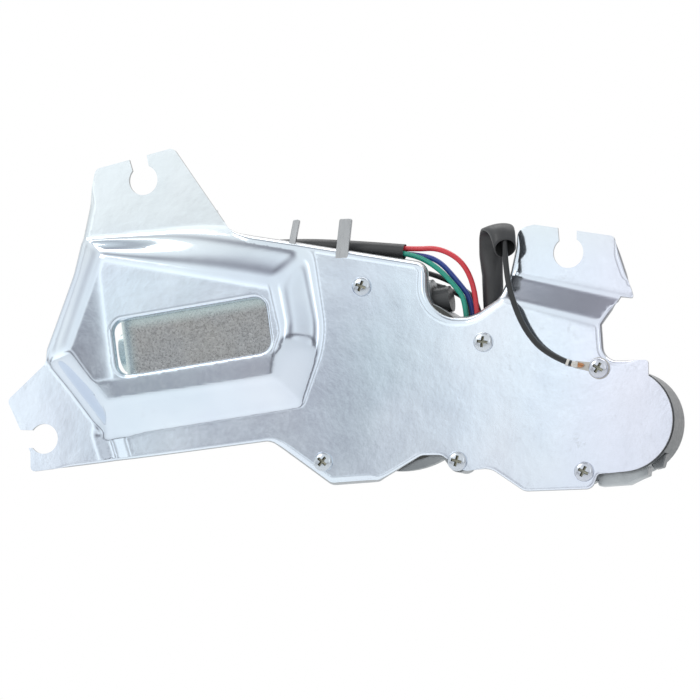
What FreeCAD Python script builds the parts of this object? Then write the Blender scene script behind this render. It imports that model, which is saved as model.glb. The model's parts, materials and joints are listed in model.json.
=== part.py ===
import FreeCAD, Part
import math
import os

os.makedirs("parts", exist_ok=True)
V = FreeCAD.Vector

# Frame: X right, Z up, Y away from the plate's visible side. Depth Y is counted here from the
# plate's rear face and moved on export, so that the origin lies on the wiper arm stud.
STUD_MID = 66.0
SHEET = 1.6
FLANGE_DEPTH = 4.0

# Linkage
WHEEL_X = -96.5
WHEEL_Z = 19.0
LEVER = 12.0
SWEEP_DEG = 110.0
ROD_FRONT = 3.2
ROD_T = 2.5
ROD_HALF = 4.0
EYE_R = 7.0
PIN_R = 3.0
RUN = 0.05
LEVER_FRONT = 6.4
LEVER_T = 3.0
OPEN_GAP = 0.3

# Worm drive
MODULE = 1.0
WHEEL_TEETH = 56
WORM_R = 4.5
BACKLASH = 0.15
WHEEL_FRONT = 7.0
WHEEL_T = 8.0
TILT_DEG = 7.7
AXIS_Y = WHEEL_FRONT + WHEEL_T / 2

# Housing
HOUSE_FRONT = 0.8
BACK_IN = 20.0
BACK_OUT = 23.0
WALL = 3.5
WHEEL_ROOM = 4.0
WHEEL_HOUSE_R = MODULE * WHEEL_TEETH / 2 + WHEEL_ROOM + WALL
RIM_EDGE = 3.5
RIM_R = WHEEL_HOUSE_R + RIM_EDGE
RIM_T = 4.0
ROD_ROOM = 1.2
END_WALL = 3.1
END_HOUSE_R = LEVER + EYE_R - 1.0 + ROD_ROOM + END_WALL
CHANNEL_HALF = 18.5
BOSS_R = 4.6
SPIN_BOSS_R = 11.0
SPIN_BOSS_FRONT = 10.5
SPIN_BOSS_END = 45.0
SPINDLE_R = 5.0
BUSH_R = 7.5
STUD_R = 4.0
STUD_START = 60.0
STUD_LEN = 12.0

# Motor, along its own axis from the middle of the worm
CAN_R = 28.0
CAN_FLAT = 21.0
CAN_WALL = 1.8
CAN_ROUND = 9.0
CAN_FRONT = -49.5
SHAFT_R = 3.0
BRUSH_PLATE = CAN_FRONT - 3.0
COMM_R = 9.0
COMM_LEN = 11.0
COMM_REAR = BRUSH_PLATE - 1.5 - COMM_LEN
END_TURNS = 6.0
CORE_R = 17.6
CORE_LEN = 34.0
CORE_REAR = COMM_REAR - END_TURNS - 1.0 - CORE_LEN
CAN_REAR = CORE_REAR - 15.0
TUNNEL_R = 9.5
TUNNEL_END = 17.5
WORM_HALF = 9.0
BUTTON_R = 5.2
LEAD_S = CAN_FRONT + 1.0
LEADS = {"black_a": (2.5, CAN_R - 1.4), "black_b": (6.0, CAN_R - 2.1)}

# Screws and keyholes
SCREW_R = 2.0
SCREW_HOLE = 2.3
HEAD_R = 4.2
HEAD_H = 2.4
KEY_R = 6.6
KEY_NECK = 3.9
EAR_BACK = 8.0
SCREWS = [(-113.2, 59.5), (-59.5, 34.2), (-9.3, 21.9), (-130.4, -15.6), (-71.0, -16.3), (-16.0, -21.6)]
TERMINAL_SCREW = SCREWS[2]
TERMINAL_T = 0.8

# Dome over the motor, counted from the plate's rear face towards the viewer
DOME_H = 12.0
DOME_ROUND = 4.0
DOME_TOP = [
    (-230, 77.5), (-184.5, 70.8), (-148, 63.5), (-142.5, 39), (-150.5, 21), (-224.5, 12.5), (-244.5, 34.5)]
DOME_FOOT = [
    (-239.5, 83), (-176, 85), (-138, 75.5), (-132, 39), (-141, 9.5), (-228, -2.5), (-255.5, 32)]
WINDOW_W = 70.0
WINDOW_H = 23.5
WINDOW_X = -187.0
WINDOW_Z = 38.9
WINDOW_CORNER = 5.0

# Cords
WIRE_R = 1.15
GROUND_R = 1.25
SLEEVE_R = 3.3
SLEEVE_IN = 2.75
MIN_CORD_TURN = 0.45

link_dir = math.atan2(-WHEEL_Z, -WHEEL_X)
back_dir = math.atan2(WHEEL_Z, WHEEL_X)
spacing = math.hypot(WHEEL_X, WHEEL_Z)
tilt = math.radians(TILT_DEG)
worm_centre = MODULE * WHEEL_TEETH / 2 + WORM_R
motor_x = WHEEL_X - worm_centre * math.sin(tilt)
motor_z = WHEEL_Z + worm_centre * math.cos(tilt)

# Rod and crank follow from the lever's two ends of travel
half = math.radians(SWEEP_DEG / 2)
far = math.sqrt(spacing ** 2 + LEVER ** 2 + 2 * spacing * LEVER * math.sin(half))
near = math.sqrt(spacing ** 2 + LEVER ** 2 - 2 * spacing * LEVER * math.sin(half))
crank = (far - near) / 2
rod_len = (far + near) / 2
psi_start = back_dir + math.pi / 2 + half
psi_end = back_dir + math.pi / 2 - half


def lever_end(angle):
    return LEVER * math.cos(angle), LEVER * math.sin(angle)


def aim(x0, z0, x1, z1):
    return math.atan2(z1 - z0, x1 - x0)


start_x, start_z = lever_end(psi_start)
end_x, end_z = lever_end(psi_end)
alpha_start = aim(WHEEL_X, WHEEL_Z, start_x, start_z)
alpha_end = aim(WHEEL_X, WHEEL_Z, end_x, end_z) + math.pi
stroke = math.degrees(alpha_end - alpha_start)
pin_x = WHEEL_X + crank * math.cos(alpha_start)
pin_z = WHEEL_Z + crank * math.sin(alpha_start)
print("wheel stroke", stroke, "driver range", stroke * WHEEL_TEETH)
print("crank", crank, "rod", rod_len, "crank pin", pin_x, pin_z, "lever pin", start_x, start_z)


def export(name, shape):
    shape.translate(V(0, -STUD_MID, 0))
    shape.exportStep("parts/" + name + ".step")


def cyl(x, z, r, y0, y1):
    return Part.makeCylinder(r, y1 - y0, V(x, y0, z), V(0, 1, 0))


def rounded(points, y):
    edges = []
    tangents = []
    n = len(points)
    for i in range(n):
        p = V(points[i][0], y, points[i][1])
        a = V(points[i - 1][0], y, points[i - 1][1]) - p
        b = V(points[(i + 1) % n][0], y, points[(i + 1) % n][1]) - p
        a.normalize()
        b.normalize()
        r = points[i][2] if len(points[i]) > 2 else 0
        if r:
            inner = a.getAngle(b)
            reach = r / math.tan(inner / 2)
            middle = a + b
            middle.normalize()
            apex = p + middle * (r / math.sin(inner / 2) - r)
            tangents.append((p + a * reach, apex, p + b * reach))
        else:
            tangents.append((p, None, p))
    for i in range(n):
        start, apex, end = tangents[i]
        if apex:
            edges.append(Part.Arc(start, apex, end).toShape())
        following = tangents[(i + 1) % n][0]
        if (following - end).Length > 1e-6:
            edges.append(Part.makeLine(end, following))
    return Part.Wire(edges)


def slab(points, y0, y1):
    return Part.Face(rounded(points, y0)).extrude(V(0, y1 - y0, 0))


def inset(points, gap):
    moved = []
    n = len(points)
    area = sum(points[i - 1][0] * points[i][1] - points[i][0] * points[i - 1][1] for i in range(n))
    turn = 1 if area > 0 else -1
    for i in range(n):
        ax, az = points[i - 1]
        px, pz = points[i]
        bx, bz = points[(i + 1) % n]
        d1 = math.atan2(pz - az, px - ax)
        d2 = math.atan2(bz - pz, bx - px)
        bisect = (d1 + d2) / 2
        if abs(d2 - d1) > math.pi:
            bisect += math.pi
        reach = gap * turn / math.cos(bisect - d1)
        moved.append((px - math.sin(bisect) * reach, pz + math.cos(bisect) * reach))
    return moved


def frustum(foot, top, y_foot, y_top):
    lower = Part.makePolygon([V(x, y_foot, z) for x, z in foot + foot[:1]])
    upper = Part.makePolygon([V(x, y_top, z) for x, z in top + top[:1]])
    return Part.makeLoft([lower, upper], True, True)


def soften(shape, y_top, r):
    edges = [edge for edge in shape.Edges if all(abs(v.Point.y - y_top) < 1e-6 for v in edge.Vertexes)]
    return shape.makeFillet(r, edges)


def dome_space(gap):
    return frustum(inset(DOME_FOOT, gap), inset(DOME_TOP, gap), 0.0, -DOME_H + gap)


def keyhole(x, z, angle, y0, y1):
    ca, sa = math.cos(angle), math.sin(angle)
    shape = []
    flare = KEY_R + 0.8
    half_side = [(0, KEY_NECK), (flare, KEY_NECK), (16, 8.5)]
    for out, across in [(a, -b) for a, b in half_side] + half_side[::-1]:
        shape.append((x + out * ca - across * sa, z + out * sa + across * ca))
    neck = slab([(px, pz, 3 if i in (1, 4) else 0) for i, (px, pz) in enumerate(shape)], y0, y1)
    return cyl(x, z, KEY_R, y0, y1).fuse(neck)


UPPER_KEY = (-212.8, 109.3, math.radians(104))
LOWER_KEY = (-258.4, -3.5, math.radians(180))
RIGHT_KEY = (-24.2, 72.3, math.radians(92))
FOLD_LOW = [(-52.3, 52.6), (-8.5, 40.5)]
FOLD_HIGH = [(-47.5, 63.5), (-1.5, 53.0)]

TAB_SIDE = 11.7
END_R = 21.8
END_FROM = math.degrees(math.acos(TAB_SIDE / END_R))
END_TO = -85.0


def round_end(angle, r=END_R):
    return r * math.cos(math.radians(angle)), r * math.sin(math.radians(angle))


def end_corner():
    reach = END_R / math.cos(math.radians((END_FROM - END_TO) / 2))
    return (*round_end((END_FROM + END_TO) / 2, reach), END_R)


OUTLINE = [
    (-235, 115, 3), (-199, 123, 3), (-172.5, 85.2, 9), (-121, 76, 30), (-84.8, 68.9, 3.5),
    (-84.2, 45.8, 13.5), (-65, 45.8, 11), FOLD_LOW[0], FOLD_LOW[1], (-7.5, 25.3, 6),
    (TAB_SIDE, 25.0, 1.5), round_end(END_FROM), end_corner(), round_end(END_TO), (-10.2, -22.7, 1.5),
    (-12.5, -29.0, 4), (-42, -29.6, 5), (-57, -19.5, 8), (-68, -20.6, 4), (-78, -13.7, 4),
    (-87, -13.7, 5), (-106, -24.4, 3), (-127.5, -25.6, 3), (-154.5, -6.2, 6), (-200, -11.2, 60),
    (-264.4, -17.9, 2), (-264.6, -9.3), (-275.6, 13.7, 2.5), (-257.6, 29.8, 3), (-258.2, 36, 5),
    (-245, 68.5, 20)]


def flange_wall():
    outer = Part.Face(rounded(OUTLINE, 0.0))
    inner = outer.makeOffset2D(-SHEET)
    wall = outer.extrude(V(0, FLANGE_DEPTH, 0)).cut(inner.extrude(V(0, FLANGE_DEPTH, 0)))
    top = Part.makeBox(83, 30, 60, V(-170, -5, 60))
    low = Part.makeBox(48, 30, 24, V(-155, -5, -27))
    left = Part.makeBox(32, 30, 78, V(-262, -5, 31))
    return wall.common(top.fuse(low).fuse(left))


def ear_band():
    walls = []
    for line, y in [(FOLD_LOW, 0.0), (FOLD_HIGH, EAR_BACK)]:
        (x0, z0), (x1, z1) = line
        corners = [V(x0, y - SHEET, z0), V(x1, y - SHEET, z1), V(x1, y, z1), V(x0, y, z0)]
        walls.append(Part.makePolygon(corners + corners[:1]))
    return Part.makeLoft(walls, True, True)


def ear_face():
    points = [FOLD_HIGH[0], (-45.5, 83.3, 3), (-39, 84.8), (-4.5, 78.8, 2), (4.2, 52.0, 1), FOLD_HIGH[1]]
    face = slab(points, EAR_BACK - SHEET, EAR_BACK)
    x, z = FOLD_HIGH[0]
    strip = slab([(x, z), (-45.9, 82), (-45.9 + SHEET, 82), (x + SHEET, z)], EAR_BACK - SHEET, EAR_BACK + 3)
    return face.fuse(strip)


def window_outline(grow, y):
    w = WINDOW_W / 2 + grow
    h = WINDOW_H / 2 + grow
    c = WINDOW_CORNER + grow
    shape = slab([(-w, -h, c), (w, -h, c), (w, h, c), (-w, h, c)], y, y + 6)
    shape.rotate(V(0, 0, 0), V(0, 1, 0), -TILT_DEG)
    shape.translate(V(WINDOW_X, 0, WINDOW_Z))
    return shape


def finger(x0, x1, lean, z0, z1):
    return slab([(x0, z0), (x1, z0), (x1 + lean, z1, 1), (x0 + lean, z1, 1)], -SHEET, 0.0)


def mounting_plate():
    base = slab(OUTLINE, -SHEET, 0.0)
    foot = inset(DOME_FOOT, 1.7)
    hollow = soften(frustum(foot, inset(DOME_TOP, 0.7), 0.0, -DOME_H), -DOME_H, DOME_ROUND - SHEET)
    hollow = hollow.fuse(frustum(foot, foot, -SHEET - 0.01, 0.01).common(hollow.copy()))
    shell = frustum(DOME_FOOT, DOME_TOP, 0.0, -DOME_H - SHEET)
    shell = soften(shell, -DOME_H - SHEET, DOME_ROUND)
    plate = base.fuse(shell).fuse(flange_wall())
    lip = window_outline(2.0, -DOME_H - SHEET)
    plate = plate.cut(hollow)
    plate = plate.fuse(lip.common(Part.makeBox(90, 3.4, 50, V(-232, -DOME_H - SHEET, 14))))
    plate = plate.fuse(ear_band()).fuse(ear_face())
    plate = plate.fuse(finger(-147.3, -144.2, 3.2, 74, 89.6)).fuse(finger(-125.3, -119.6, 2, 72, 89.2))
    cuts = [window_outline(0.0, -DOME_H - SHEET - 1)]
    for x, z in SCREWS:
        cuts.append(cyl(x, z, SCREW_HOLE, -SHEET, 0))
    for x, z, angle in (UPPER_KEY, LOWER_KEY):
        cuts.append(keyhole(x, z, angle, -3, 6))
    cuts.append(keyhole(*RIGHT_KEY, EAR_BACK - SHEET, EAR_BACK + 3))
    for item in cuts:
        plate = plate.cut(item)
    return plate.removeSplitter()


def screw(x, z, seat):
    head = cyl(x, z, HEAD_R, seat - HEAD_H, seat)
    rim = [e for e in head.Edges if abs(e.CenterOfMass.y - (seat - HEAD_H)) < 1e-6 and e.Closed]
    head = head.makeFillet(1.6, rim)
    body = head.fuse(cyl(x, z, SCREW_R, seat, seat + 11))
    for w, h in ((0.55, 2.3), (2.3, 0.55)):
        slot = Part.makeBox(2 * w, 1.5, 2 * h, V(x - w, seat - HEAD_H, z - h))
        body = body.cut(slot)
    return body


def seat_of(spot):
    return -SHEET - (TERMINAL_T if spot == TERMINAL_SCREW else 0)


def group(shapes):
    return Part.makeCompound(shapes)


def channel(half_width, y0, y1):
    box = Part.makeBox(spacing, y1 - y0, 2 * half_width, V(0, y0, -half_width))
    box.rotate(V(0, 0, 0), V(0, 1, 0), -math.degrees(link_dir))
    box.translate(V(WHEEL_X, 0, WHEEL_Z))
    return box


def place(shape):
    shape.rotate(V(0, 0, 0), V(0, 1, 0), -TILT_DEG)
    shape.translate(V(motor_x, AXIS_Y, motor_z))
    return shape


def along(s0, s1, r):
    return Part.makeCylinder(r, s1 - s0, V(s0, 0, 0), V(1, 0, 0))


def on_motor(s, back, up):
    spot = place(Part.Vertex(V(s, back, up))).Point
    return spot.x, spot.y, spot.z


def double_d(s0, s1, r, flat):
    return along(s0, s1, r).common(Part.makeBox(s1 - s0, 2 * flat, 2 * r + 2, V(s0, -flat, -r - 1)))


def gear_housing():
    solid = cyl(WHEEL_X, WHEEL_Z, WHEEL_HOUSE_R, HOUSE_FRONT, BACK_OUT)
    solid = solid.fuse(channel(CHANNEL_HALF, HOUSE_FRONT, BACK_OUT))
    solid = solid.fuse(cyl(0, 0, END_HOUSE_R, HOUSE_FRONT, BACK_OUT))
    rim = cyl(WHEEL_X, WHEEL_Z, RIM_R, HOUSE_FRONT, HOUSE_FRONT + RIM_T)
    solid = solid.fuse(rim.common(Part.makeBox(100, 20, 40, V(WHEEL_X - 50, 0, WHEEL_Z - 52))))
    for x, z in SCREWS:
        d = math.hypot(x - WHEEL_X, z - WHEEL_Z)
        solid = solid.fuse(cyl(x, z, BOSS_R, HOUSE_FRONT, 14))
        if d < 60:
            web = Part.makeBox(d, 13.2, 2 * BOSS_R, V(0, HOUSE_FRONT, -BOSS_R))
            web.rotate(V(0, 0, 0), V(0, 1, 0), -math.degrees(math.atan2(z - WHEEL_Z, x - WHEEL_X)))
            web.translate(V(WHEEL_X, 0, WHEEL_Z))
            solid = solid.fuse(web)
    x, z = SCREWS[5]
    solid = solid.fuse(slab([(x - 12, 0), (x - 8, z - 4), (x + 5, z - 4), (x + 8, 0)], HOUSE_FRONT, 14))
    tunnel = along(CAN_FRONT + 4, TUNNEL_END, TUNNEL_R)
    tunnel = tunnel.fuse(double_d(CAN_FRONT, CAN_FRONT + 4, CAN_R + 1, CAN_FLAT))
    cone = Part.makeCone(CAN_R - 4, TUNNEL_R + 2, 15, V(CAN_FRONT + 4, 0, 0), V(1, 0, 0))
    tunnel = tunnel.fuse(cone)
    for side in (-1, 1):
        tunnel = tunnel.fuse(Part.makeCylinder(4.5, 8, can_screw_spot(CAN_FRONT, side), V(1, 0, 0)))
    open_foot = inset(DOME_FOOT, 2.6)
    space = Part.makeBox(400, 80, 260, V(-300, HOUSE_FRONT, -80))
    space = space.fuse(frustum(open_foot, open_foot, HOUSE_FRONT + 0.5, -0.01)).fuse(dome_space(2.6))
    solid = solid.fuse(place(tunnel).common(space))
    solid = solid.fuse(cyl(0, 0, SPIN_BOSS_R, SPIN_BOSS_FRONT, SPIN_BOSS_END))
    solid = solid.fuse(cyl(WHEEL_X, WHEEL_Z, 9, WHEEL_FRONT + WHEEL_T + 1.4, BACK_OUT + 4))
    cavity = cyl(WHEEL_X, WHEEL_Z, WHEEL_HOUSE_R - WALL, HOUSE_FRONT, BACK_IN)
    cavity = cavity.fuse(channel(CHANNEL_HALF - 3, HOUSE_FRONT, BACK_IN))
    cavity = cavity.fuse(cyl(0, 0, END_HOUSE_R - END_WALL, HOUSE_FRONT, BACK_IN))
    cavity = cavity.cut(cyl(0, 0, SPIN_BOSS_R, SPIN_BOSS_FRONT, BACK_IN))
    cavity = cavity.cut(cyl(WHEEL_X, WHEEL_Z, 9, WHEEL_FRONT + WHEEL_T + 1.4, BACK_IN))
    bore = along(CAN_FRONT, TUNNEL_END, 7.0).fuse(along(CAN_FRONT - 1, CAN_FRONT + 9, 11))
    for side in (-1, 1):
        bore = bore.fuse(Part.makeCylinder(1.8, 9, can_screw_spot(CAN_FRONT, side), V(1, 0, 0)))
    for back, up in LEADS.values():
        bore = bore.fuse(Part.makeCylinder(WIRE_R, 3.5, V(LEAD_S, back, up), V(1, 0, 0)))
    solid = solid.cut(entry_box(11, 14.6, ENTRY_TOP, 60)).fuse(entry_box(11, 13.6, 30, ENTRY_TOP))
    solid = solid.cut(cavity).cut(place(bore)).cut(place(along(TUNNEL_END, TUNNEL_END + 8, 7.0)))
    solid = solid.cut(entry_box(8, 10.6, 26, ENTRY_TOP))
    solid = solid.cut(cyl(0, 0, BUSH_R, SPIN_BOSS_FRONT, SPIN_BOSS_END))
    solid = solid.cut(cyl(WHEEL_X, WHEEL_Z, 4.0, 10, BACK_OUT + 4))
    for x, z in SCREWS:
        solid = solid.cut(cyl(x, z, SCREW_R + 0.1, HOUSE_FRONT, 12))
    ribs = []
    for angle in (20, 65, 110, 200, 245, 290, 335):
        rib = Part.makeBox(WHEEL_HOUSE_R - 8, 2.6, 2.2, V(7, BACK_OUT, -1.1))
        rib.rotate(V(0, 0, 0), V(0, 1, 0), -angle)
        rib.translate(V(WHEEL_X, 0, WHEEL_Z))
        ribs.append(rib)
    for shift in (-9, 9):
        rib = Part.makeBox(spacing - 34, 2.6, 2.2, V(24, BACK_OUT, shift - 1.1))
        rib.rotate(V(0, 0, 0), V(0, 1, 0), -math.degrees(link_dir))
        rib.translate(V(WHEEL_X, 0, WHEEL_Z))
        ribs.append(rib)
    rib = Part.makeBox(2 * END_HOUSE_R - 6, 9, 2.4, V(3 - END_HOUSE_R, BACK_OUT, -1.2))
    for angle in (30, 90, 150):
        one = rib.copy()
        one.rotate(V(0, 0, 0), V(0, 1, 0), angle)
        ribs.append(one.cut(cyl(0, 0, SPIN_BOSS_R - 1, BACK_OUT, SPIN_BOSS_END)))
    solid = solid.fuse(ribs)
    return solid.removeSplitter()


def can_screw_spot(s, side):
    return V(s, 0.52 * CAN_FLAT, side * (CAN_R + 2.4))


WIRE_PORTS = {"red": (5.4, 2.4), "blue": (8.8, 0.0), "green": (5.4, -2.4)}
WIRE_PORTS.update({"black_a": (12.2, 2.4), "black_b": (12.2, -2.4)})
ENTRY_X = -66.0
ENTRY_Y = 8.8
ENTRY_TOP = 43.8
PORT_IN = 36.0
PORT_OUT = 45.6


def entry_box(across, deep, z0, z1):
    return Part.makeBox(across, deep, z1 - z0, V(ENTRY_X - across / 2, ENTRY_Y - deep / 2, z0))


def port(name, z):
    y, t = WIRE_PORTS[name]
    return V(ENTRY_X + t, y, z)


def wiring_grommet():
    block = entry_box(8, 10.6, PORT_IN, ENTRY_TOP).fuse(entry_box(10, 12.6, ENTRY_TOP, PORT_OUT))
    block = block.fuse(Part.makeBox(17.4, 13.2, PORT_OUT - ENTRY_TOP, V(ENTRY_X - 5, 2.5, ENTRY_TOP)))
    for name in WIRE_PORTS:
        block = block.cut(Part.makeCylinder(WIRE_R, 12, port(name, PORT_IN - 1), V(0, 0, 1)))
    return block.removeSplitter()


def housing_gasket():
    outer = cyl(WHEEL_X, WHEEL_Z, WHEEL_HOUSE_R - 0.4, 0, HOUSE_FRONT)
    outer = outer.fuse(channel(CHANNEL_HALF - 0.4, 0, HOUSE_FRONT))
    outer = outer.fuse(cyl(0, 0, END_HOUSE_R - 1.4, 0, HOUSE_FRONT))
    inner = cyl(WHEEL_X, WHEEL_Z, WHEEL_HOUSE_R - WALL, 0, HOUSE_FRONT)
    inner = inner.fuse(channel(CHANNEL_HALF - 3, 0, HOUSE_FRONT))
    inner = inner.fuse(cyl(0, 0, END_HOUSE_R - END_WALL, 0, HOUSE_FRONT))
    gasket = outer.cut(inner)
    for x, z in SCREWS:
        gasket = gasket.cut(cyl(x, z, SCREW_HOLE, 0, HOUSE_FRONT))
    return gasket.removeSplitter()


def worm_wheel():
    pitch_r = MODULE * WHEEL_TEETH / 2
    lead = math.atan(MODULE / (2 * WORM_R))
    twist = WHEEL_T * math.tan(lead) / pitch_r
    thick = (math.pi * MODULE / 2 - BACKLASH) / pitch_r / 2
    offset = math.radians(90) + tilt + math.pi / WHEEL_TEETH
    wires = []
    for y, turn in ((WHEEL_FRONT, twist / 2), (WHEEL_FRONT + WHEEL_T, -twist / 2)):
        points = []
        for i in range(WHEEL_TEETH):
            mid = offset + 2 * math.pi * i / WHEEL_TEETH + turn
            for radius, widen in ((pitch_r - 1.2 * MODULE, 1), (pitch_r + 0.9 * MODULE, -1)):
                depth = abs(radius - pitch_r) * math.tan(math.radians(20)) / pitch_r
                half_tooth = thick + widen * depth
                points.append((radius, mid, half_tooth, widen))
        ring = []
        for k in range(0, len(points), 2):
            root, tip = points[k], points[k + 1]
            for radius, angle in ((root[0], root[1] - root[2]), (tip[0], tip[1] - tip[2]),
                                  (tip[0], tip[1] + tip[2]), (root[0], root[1] + root[2])):
                ring.append(V(WHEEL_X + radius * math.cos(angle), y, WHEEL_Z + radius * math.sin(angle)))
        wires.append(Part.makePolygon(ring + ring[:1]))
    gear = Part.makeLoft(wires, True, True)
    pocket = cyl(WHEEL_X, WHEEL_Z, 23.5, WHEEL_FRONT, WHEEL_FRONT + 4).cut(cyl(WHEEL_X, WHEEL_Z, 7.5, 0, 30))
    pocket = pocket.cut(cyl(pin_x, pin_z, 6.5, 0, 30))
    gear = gear.cut(pocket)
    gear = gear.cut(cyl(WHEEL_X, WHEEL_Z, 4.0 + RUN, 0, 30))
    gear = gear.cut(cyl(pin_x, pin_z, PIN_R, 0, WHEEL_FRONT + 6))
    return gear


def crank_pin():
    pin = cyl(pin_x, pin_z, PIN_R, 2.0, WHEEL_FRONT + 6)
    collar = cyl(pin_x, pin_z, 4.0, ROD_FRONT + ROD_T + 0.3, WHEEL_FRONT)
    groove = cyl(pin_x, pin_z, 5, 2.3, 2.9).cut(cyl(pin_x, pin_z, PIN_R - 0.6, 0, 9))
    return pin.fuse(collar).cut(groove).removeSplitter()


def clip(x, z, r, y0, y1, angle, opening=1.6):
    ring = cyl(x, z, r + 1.6, y0, y1).cut(cyl(x, z, r - 0.6, y0, y1))
    slot = Part.makeBox(r + 4, y1 - y0, 2 * opening, V(0, y0, -opening))
    slot.rotate(V(0, 0, 0), V(0, 1, 0), -angle)
    slot.translate(V(x, 0, z))
    return ring.cut(slot)


def connecting_rod():
    rear = ROD_FRONT + ROD_T
    rod_angle = aim(pin_x, pin_z, start_x, start_z)
    bar = Part.makeBox(rod_len, ROD_T, 2 * ROD_HALF, V(0, ROD_FRONT, -ROD_HALF))
    bar.rotate(V(0, 0, 0), V(0, 1, 0), -math.degrees(rod_angle))
    bar.translate(V(pin_x, 0, pin_z))
    rod = bar.fuse(cyl(pin_x, pin_z, EYE_R, ROD_FRONT, rear))
    rod = rod.fuse(cyl(start_x, start_z, EYE_R - 1, ROD_FRONT, rear))
    rod = rod.cut(cyl(pin_x, pin_z, PIN_R + 1.6, 0, 9)).cut(cyl(start_x, start_z, PIN_R + 1.2, 0, 9))
    return rod.removeSplitter()


def rod_bushes():
    rear = ROD_FRONT + ROD_T
    near_bush = cyl(pin_x, pin_z, PIN_R + 1.6, ROD_FRONT - 0.2, rear + 0.2)
    near_bush = near_bush.fuse(cyl(pin_x, pin_z, PIN_R + 2.6, rear, rear + 0.2))
    near_bush = near_bush.cut(cyl(pin_x, pin_z, PIN_R + RUN, 0, 9))
    far_bush = cyl(start_x, start_z, PIN_R + 1.2, ROD_FRONT, rear)
    return group([near_bush, far_bush.cut(cyl(start_x, start_z, PIN_R + RUN, 0, 9))])


def wheel_axle():
    front = ROD_FRONT + ROD_T + OPEN_GAP
    axle = cyl(WHEEL_X, WHEEL_Z, 4.0, front, BACK_OUT + 3)
    groove = cyl(WHEEL_X, WHEEL_Z, 6, 6.25, 6.8).cut(cyl(WHEEL_X, WHEEL_Z, 3.4, 0, 9))
    return axle.cut(groove)


def output_lever():
    bar = Part.makeBox(LEVER, LEVER_T, 11, V(0, LEVER_FRONT, -5.5))
    bar.rotate(V(0, 0, 0), V(0, 1, 0), -math.degrees(psi_start))
    lever = bar.fuse(cyl(0, 0, 9, LEVER_FRONT, LEVER_FRONT + LEVER_T))
    lever = lever.fuse(cyl(start_x, start_z, 5.5, LEVER_FRONT, LEVER_FRONT + LEVER_T))
    lever = lever.cut(cyl(0, 0, SPINDLE_R - 0.8, 0, 30)).cut(cyl(start_x, start_z, PIN_R - 0.6, 0, 30))
    return lever.removeSplitter()


def lever_pin():
    front = ROD_FRONT + ROD_T + OPEN_GAP
    neck = cyl(start_x, start_z, PIN_R - 0.6, LEVER_FRONT, LEVER_FRONT + LEVER_T)
    return neck.fuse(cyl(start_x, start_z, PIN_R, front, LEVER_FRONT)).removeSplitter()


def output_spindle():
    shaft = cyl(0, 0, SPINDLE_R - 0.8, ROD_FRONT + ROD_T + OPEN_GAP, LEVER_FRONT + LEVER_T)
    shaft = shaft.fuse(cyl(0, 0, SPINDLE_R, LEVER_FRONT + LEVER_T, STUD_START - 6))
    taper = Part.makeCone(SPINDLE_R, STUD_R + 0.3, 6, V(0, STUD_START - 6, 0), V(0, 1, 0))
    for i in range(18):
        a = 2 * math.pi * i / 18
        foot = V(SPINDLE_R * math.cos(a), STUD_START - 6.5, SPINDLE_R * math.sin(a))
        taper = taper.cut(Part.makeCylinder(0.35, 7, foot, V(-0.117 * math.cos(a), 1, -0.117 * math.sin(a))))
    shaft = shaft.fuse(taper).fuse(cyl(0, 0, STUD_R, STUD_START, STUD_START + STUD_LEN))
    shaft = shaft.fuse(Part.makeCone(STUD_R, STUD_R - 0.9, 1.0, V(0, STUD_START + STUD_LEN, 0), V(0, 1, 0)))
    groove = cyl(0, 0, 7, SPIN_BOSS_END + 1.2, SPIN_BOSS_END + 2.2).cut(cyl(0, 0, SPINDLE_R - 0.6, 0, 80))
    return shaft.cut(groove)


def ring(r_in, r_out, y0, y1):
    return cyl(0, 0, r_out, y0, y1).cut(cyl(0, 0, r_in, y0, y1))


def spindle_seal():
    return ring(SPIN_BOSS_R, 14.5, 34, 43).fuse(ring(SPIN_BOSS_R, 17, 34, 36.5)).removeSplitter()


def motor_can():
    body = double_d(CAN_REAR, CAN_FRONT, CAN_R, CAN_FLAT)
    rear_edges = [e for e in body.Edges if abs(e.CenterOfMass.x - CAN_REAR) < 1e-6]
    body = body.makeFillet(CAN_ROUND, rear_edges)
    body = body.fuse(along(CAN_REAR - 4.5, CAN_REAR + 2, 8.5))
    inner = double_d(CAN_REAR + CAN_WALL, CAN_FRONT, CAN_R - CAN_WALL, CAN_FLAT - CAN_WALL)
    inner_edges = [e for e in inner.Edges if abs(e.CenterOfMass.x - CAN_REAR - CAN_WALL) < 1e-6]
    inner = inner.makeFillet(CAN_ROUND - CAN_WALL, inner_edges)
    can = body.cut(inner).cut(along(CAN_REAR - 3, CAN_REAR + 6, 6.5))
    for side in (-1, 1):
        spot = can_screw_spot(CAN_FRONT - 1.5, side)
        can = can.fuse(Part.makeCylinder(4.5, 1.5, spot, V(1, 0, 0)).cut(inner))
        can = can.cut(Part.makeCylinder(2.0, 1.5, spot, V(1, 0, 0)))
    return place(can.removeSplitter())


def can_screws():
    screws = []
    for side in (-1, 1):
        spot = can_screw_spot(CAN_FRONT - 3.5, side)
        head = Part.makeCylinder(3.1, 2.0, spot, V(1, 0, 0))
        shank = Part.makeCylinder(1.7, 9.5, spot, V(1, 0, 0))
        slot = Part.makeBox(1.1, 0.8, 4.4, spot - V(0, 0.4, 2.2))
        screws.append(place(head.fuse(shank).cut(slot)))
    return group(screws)


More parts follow.
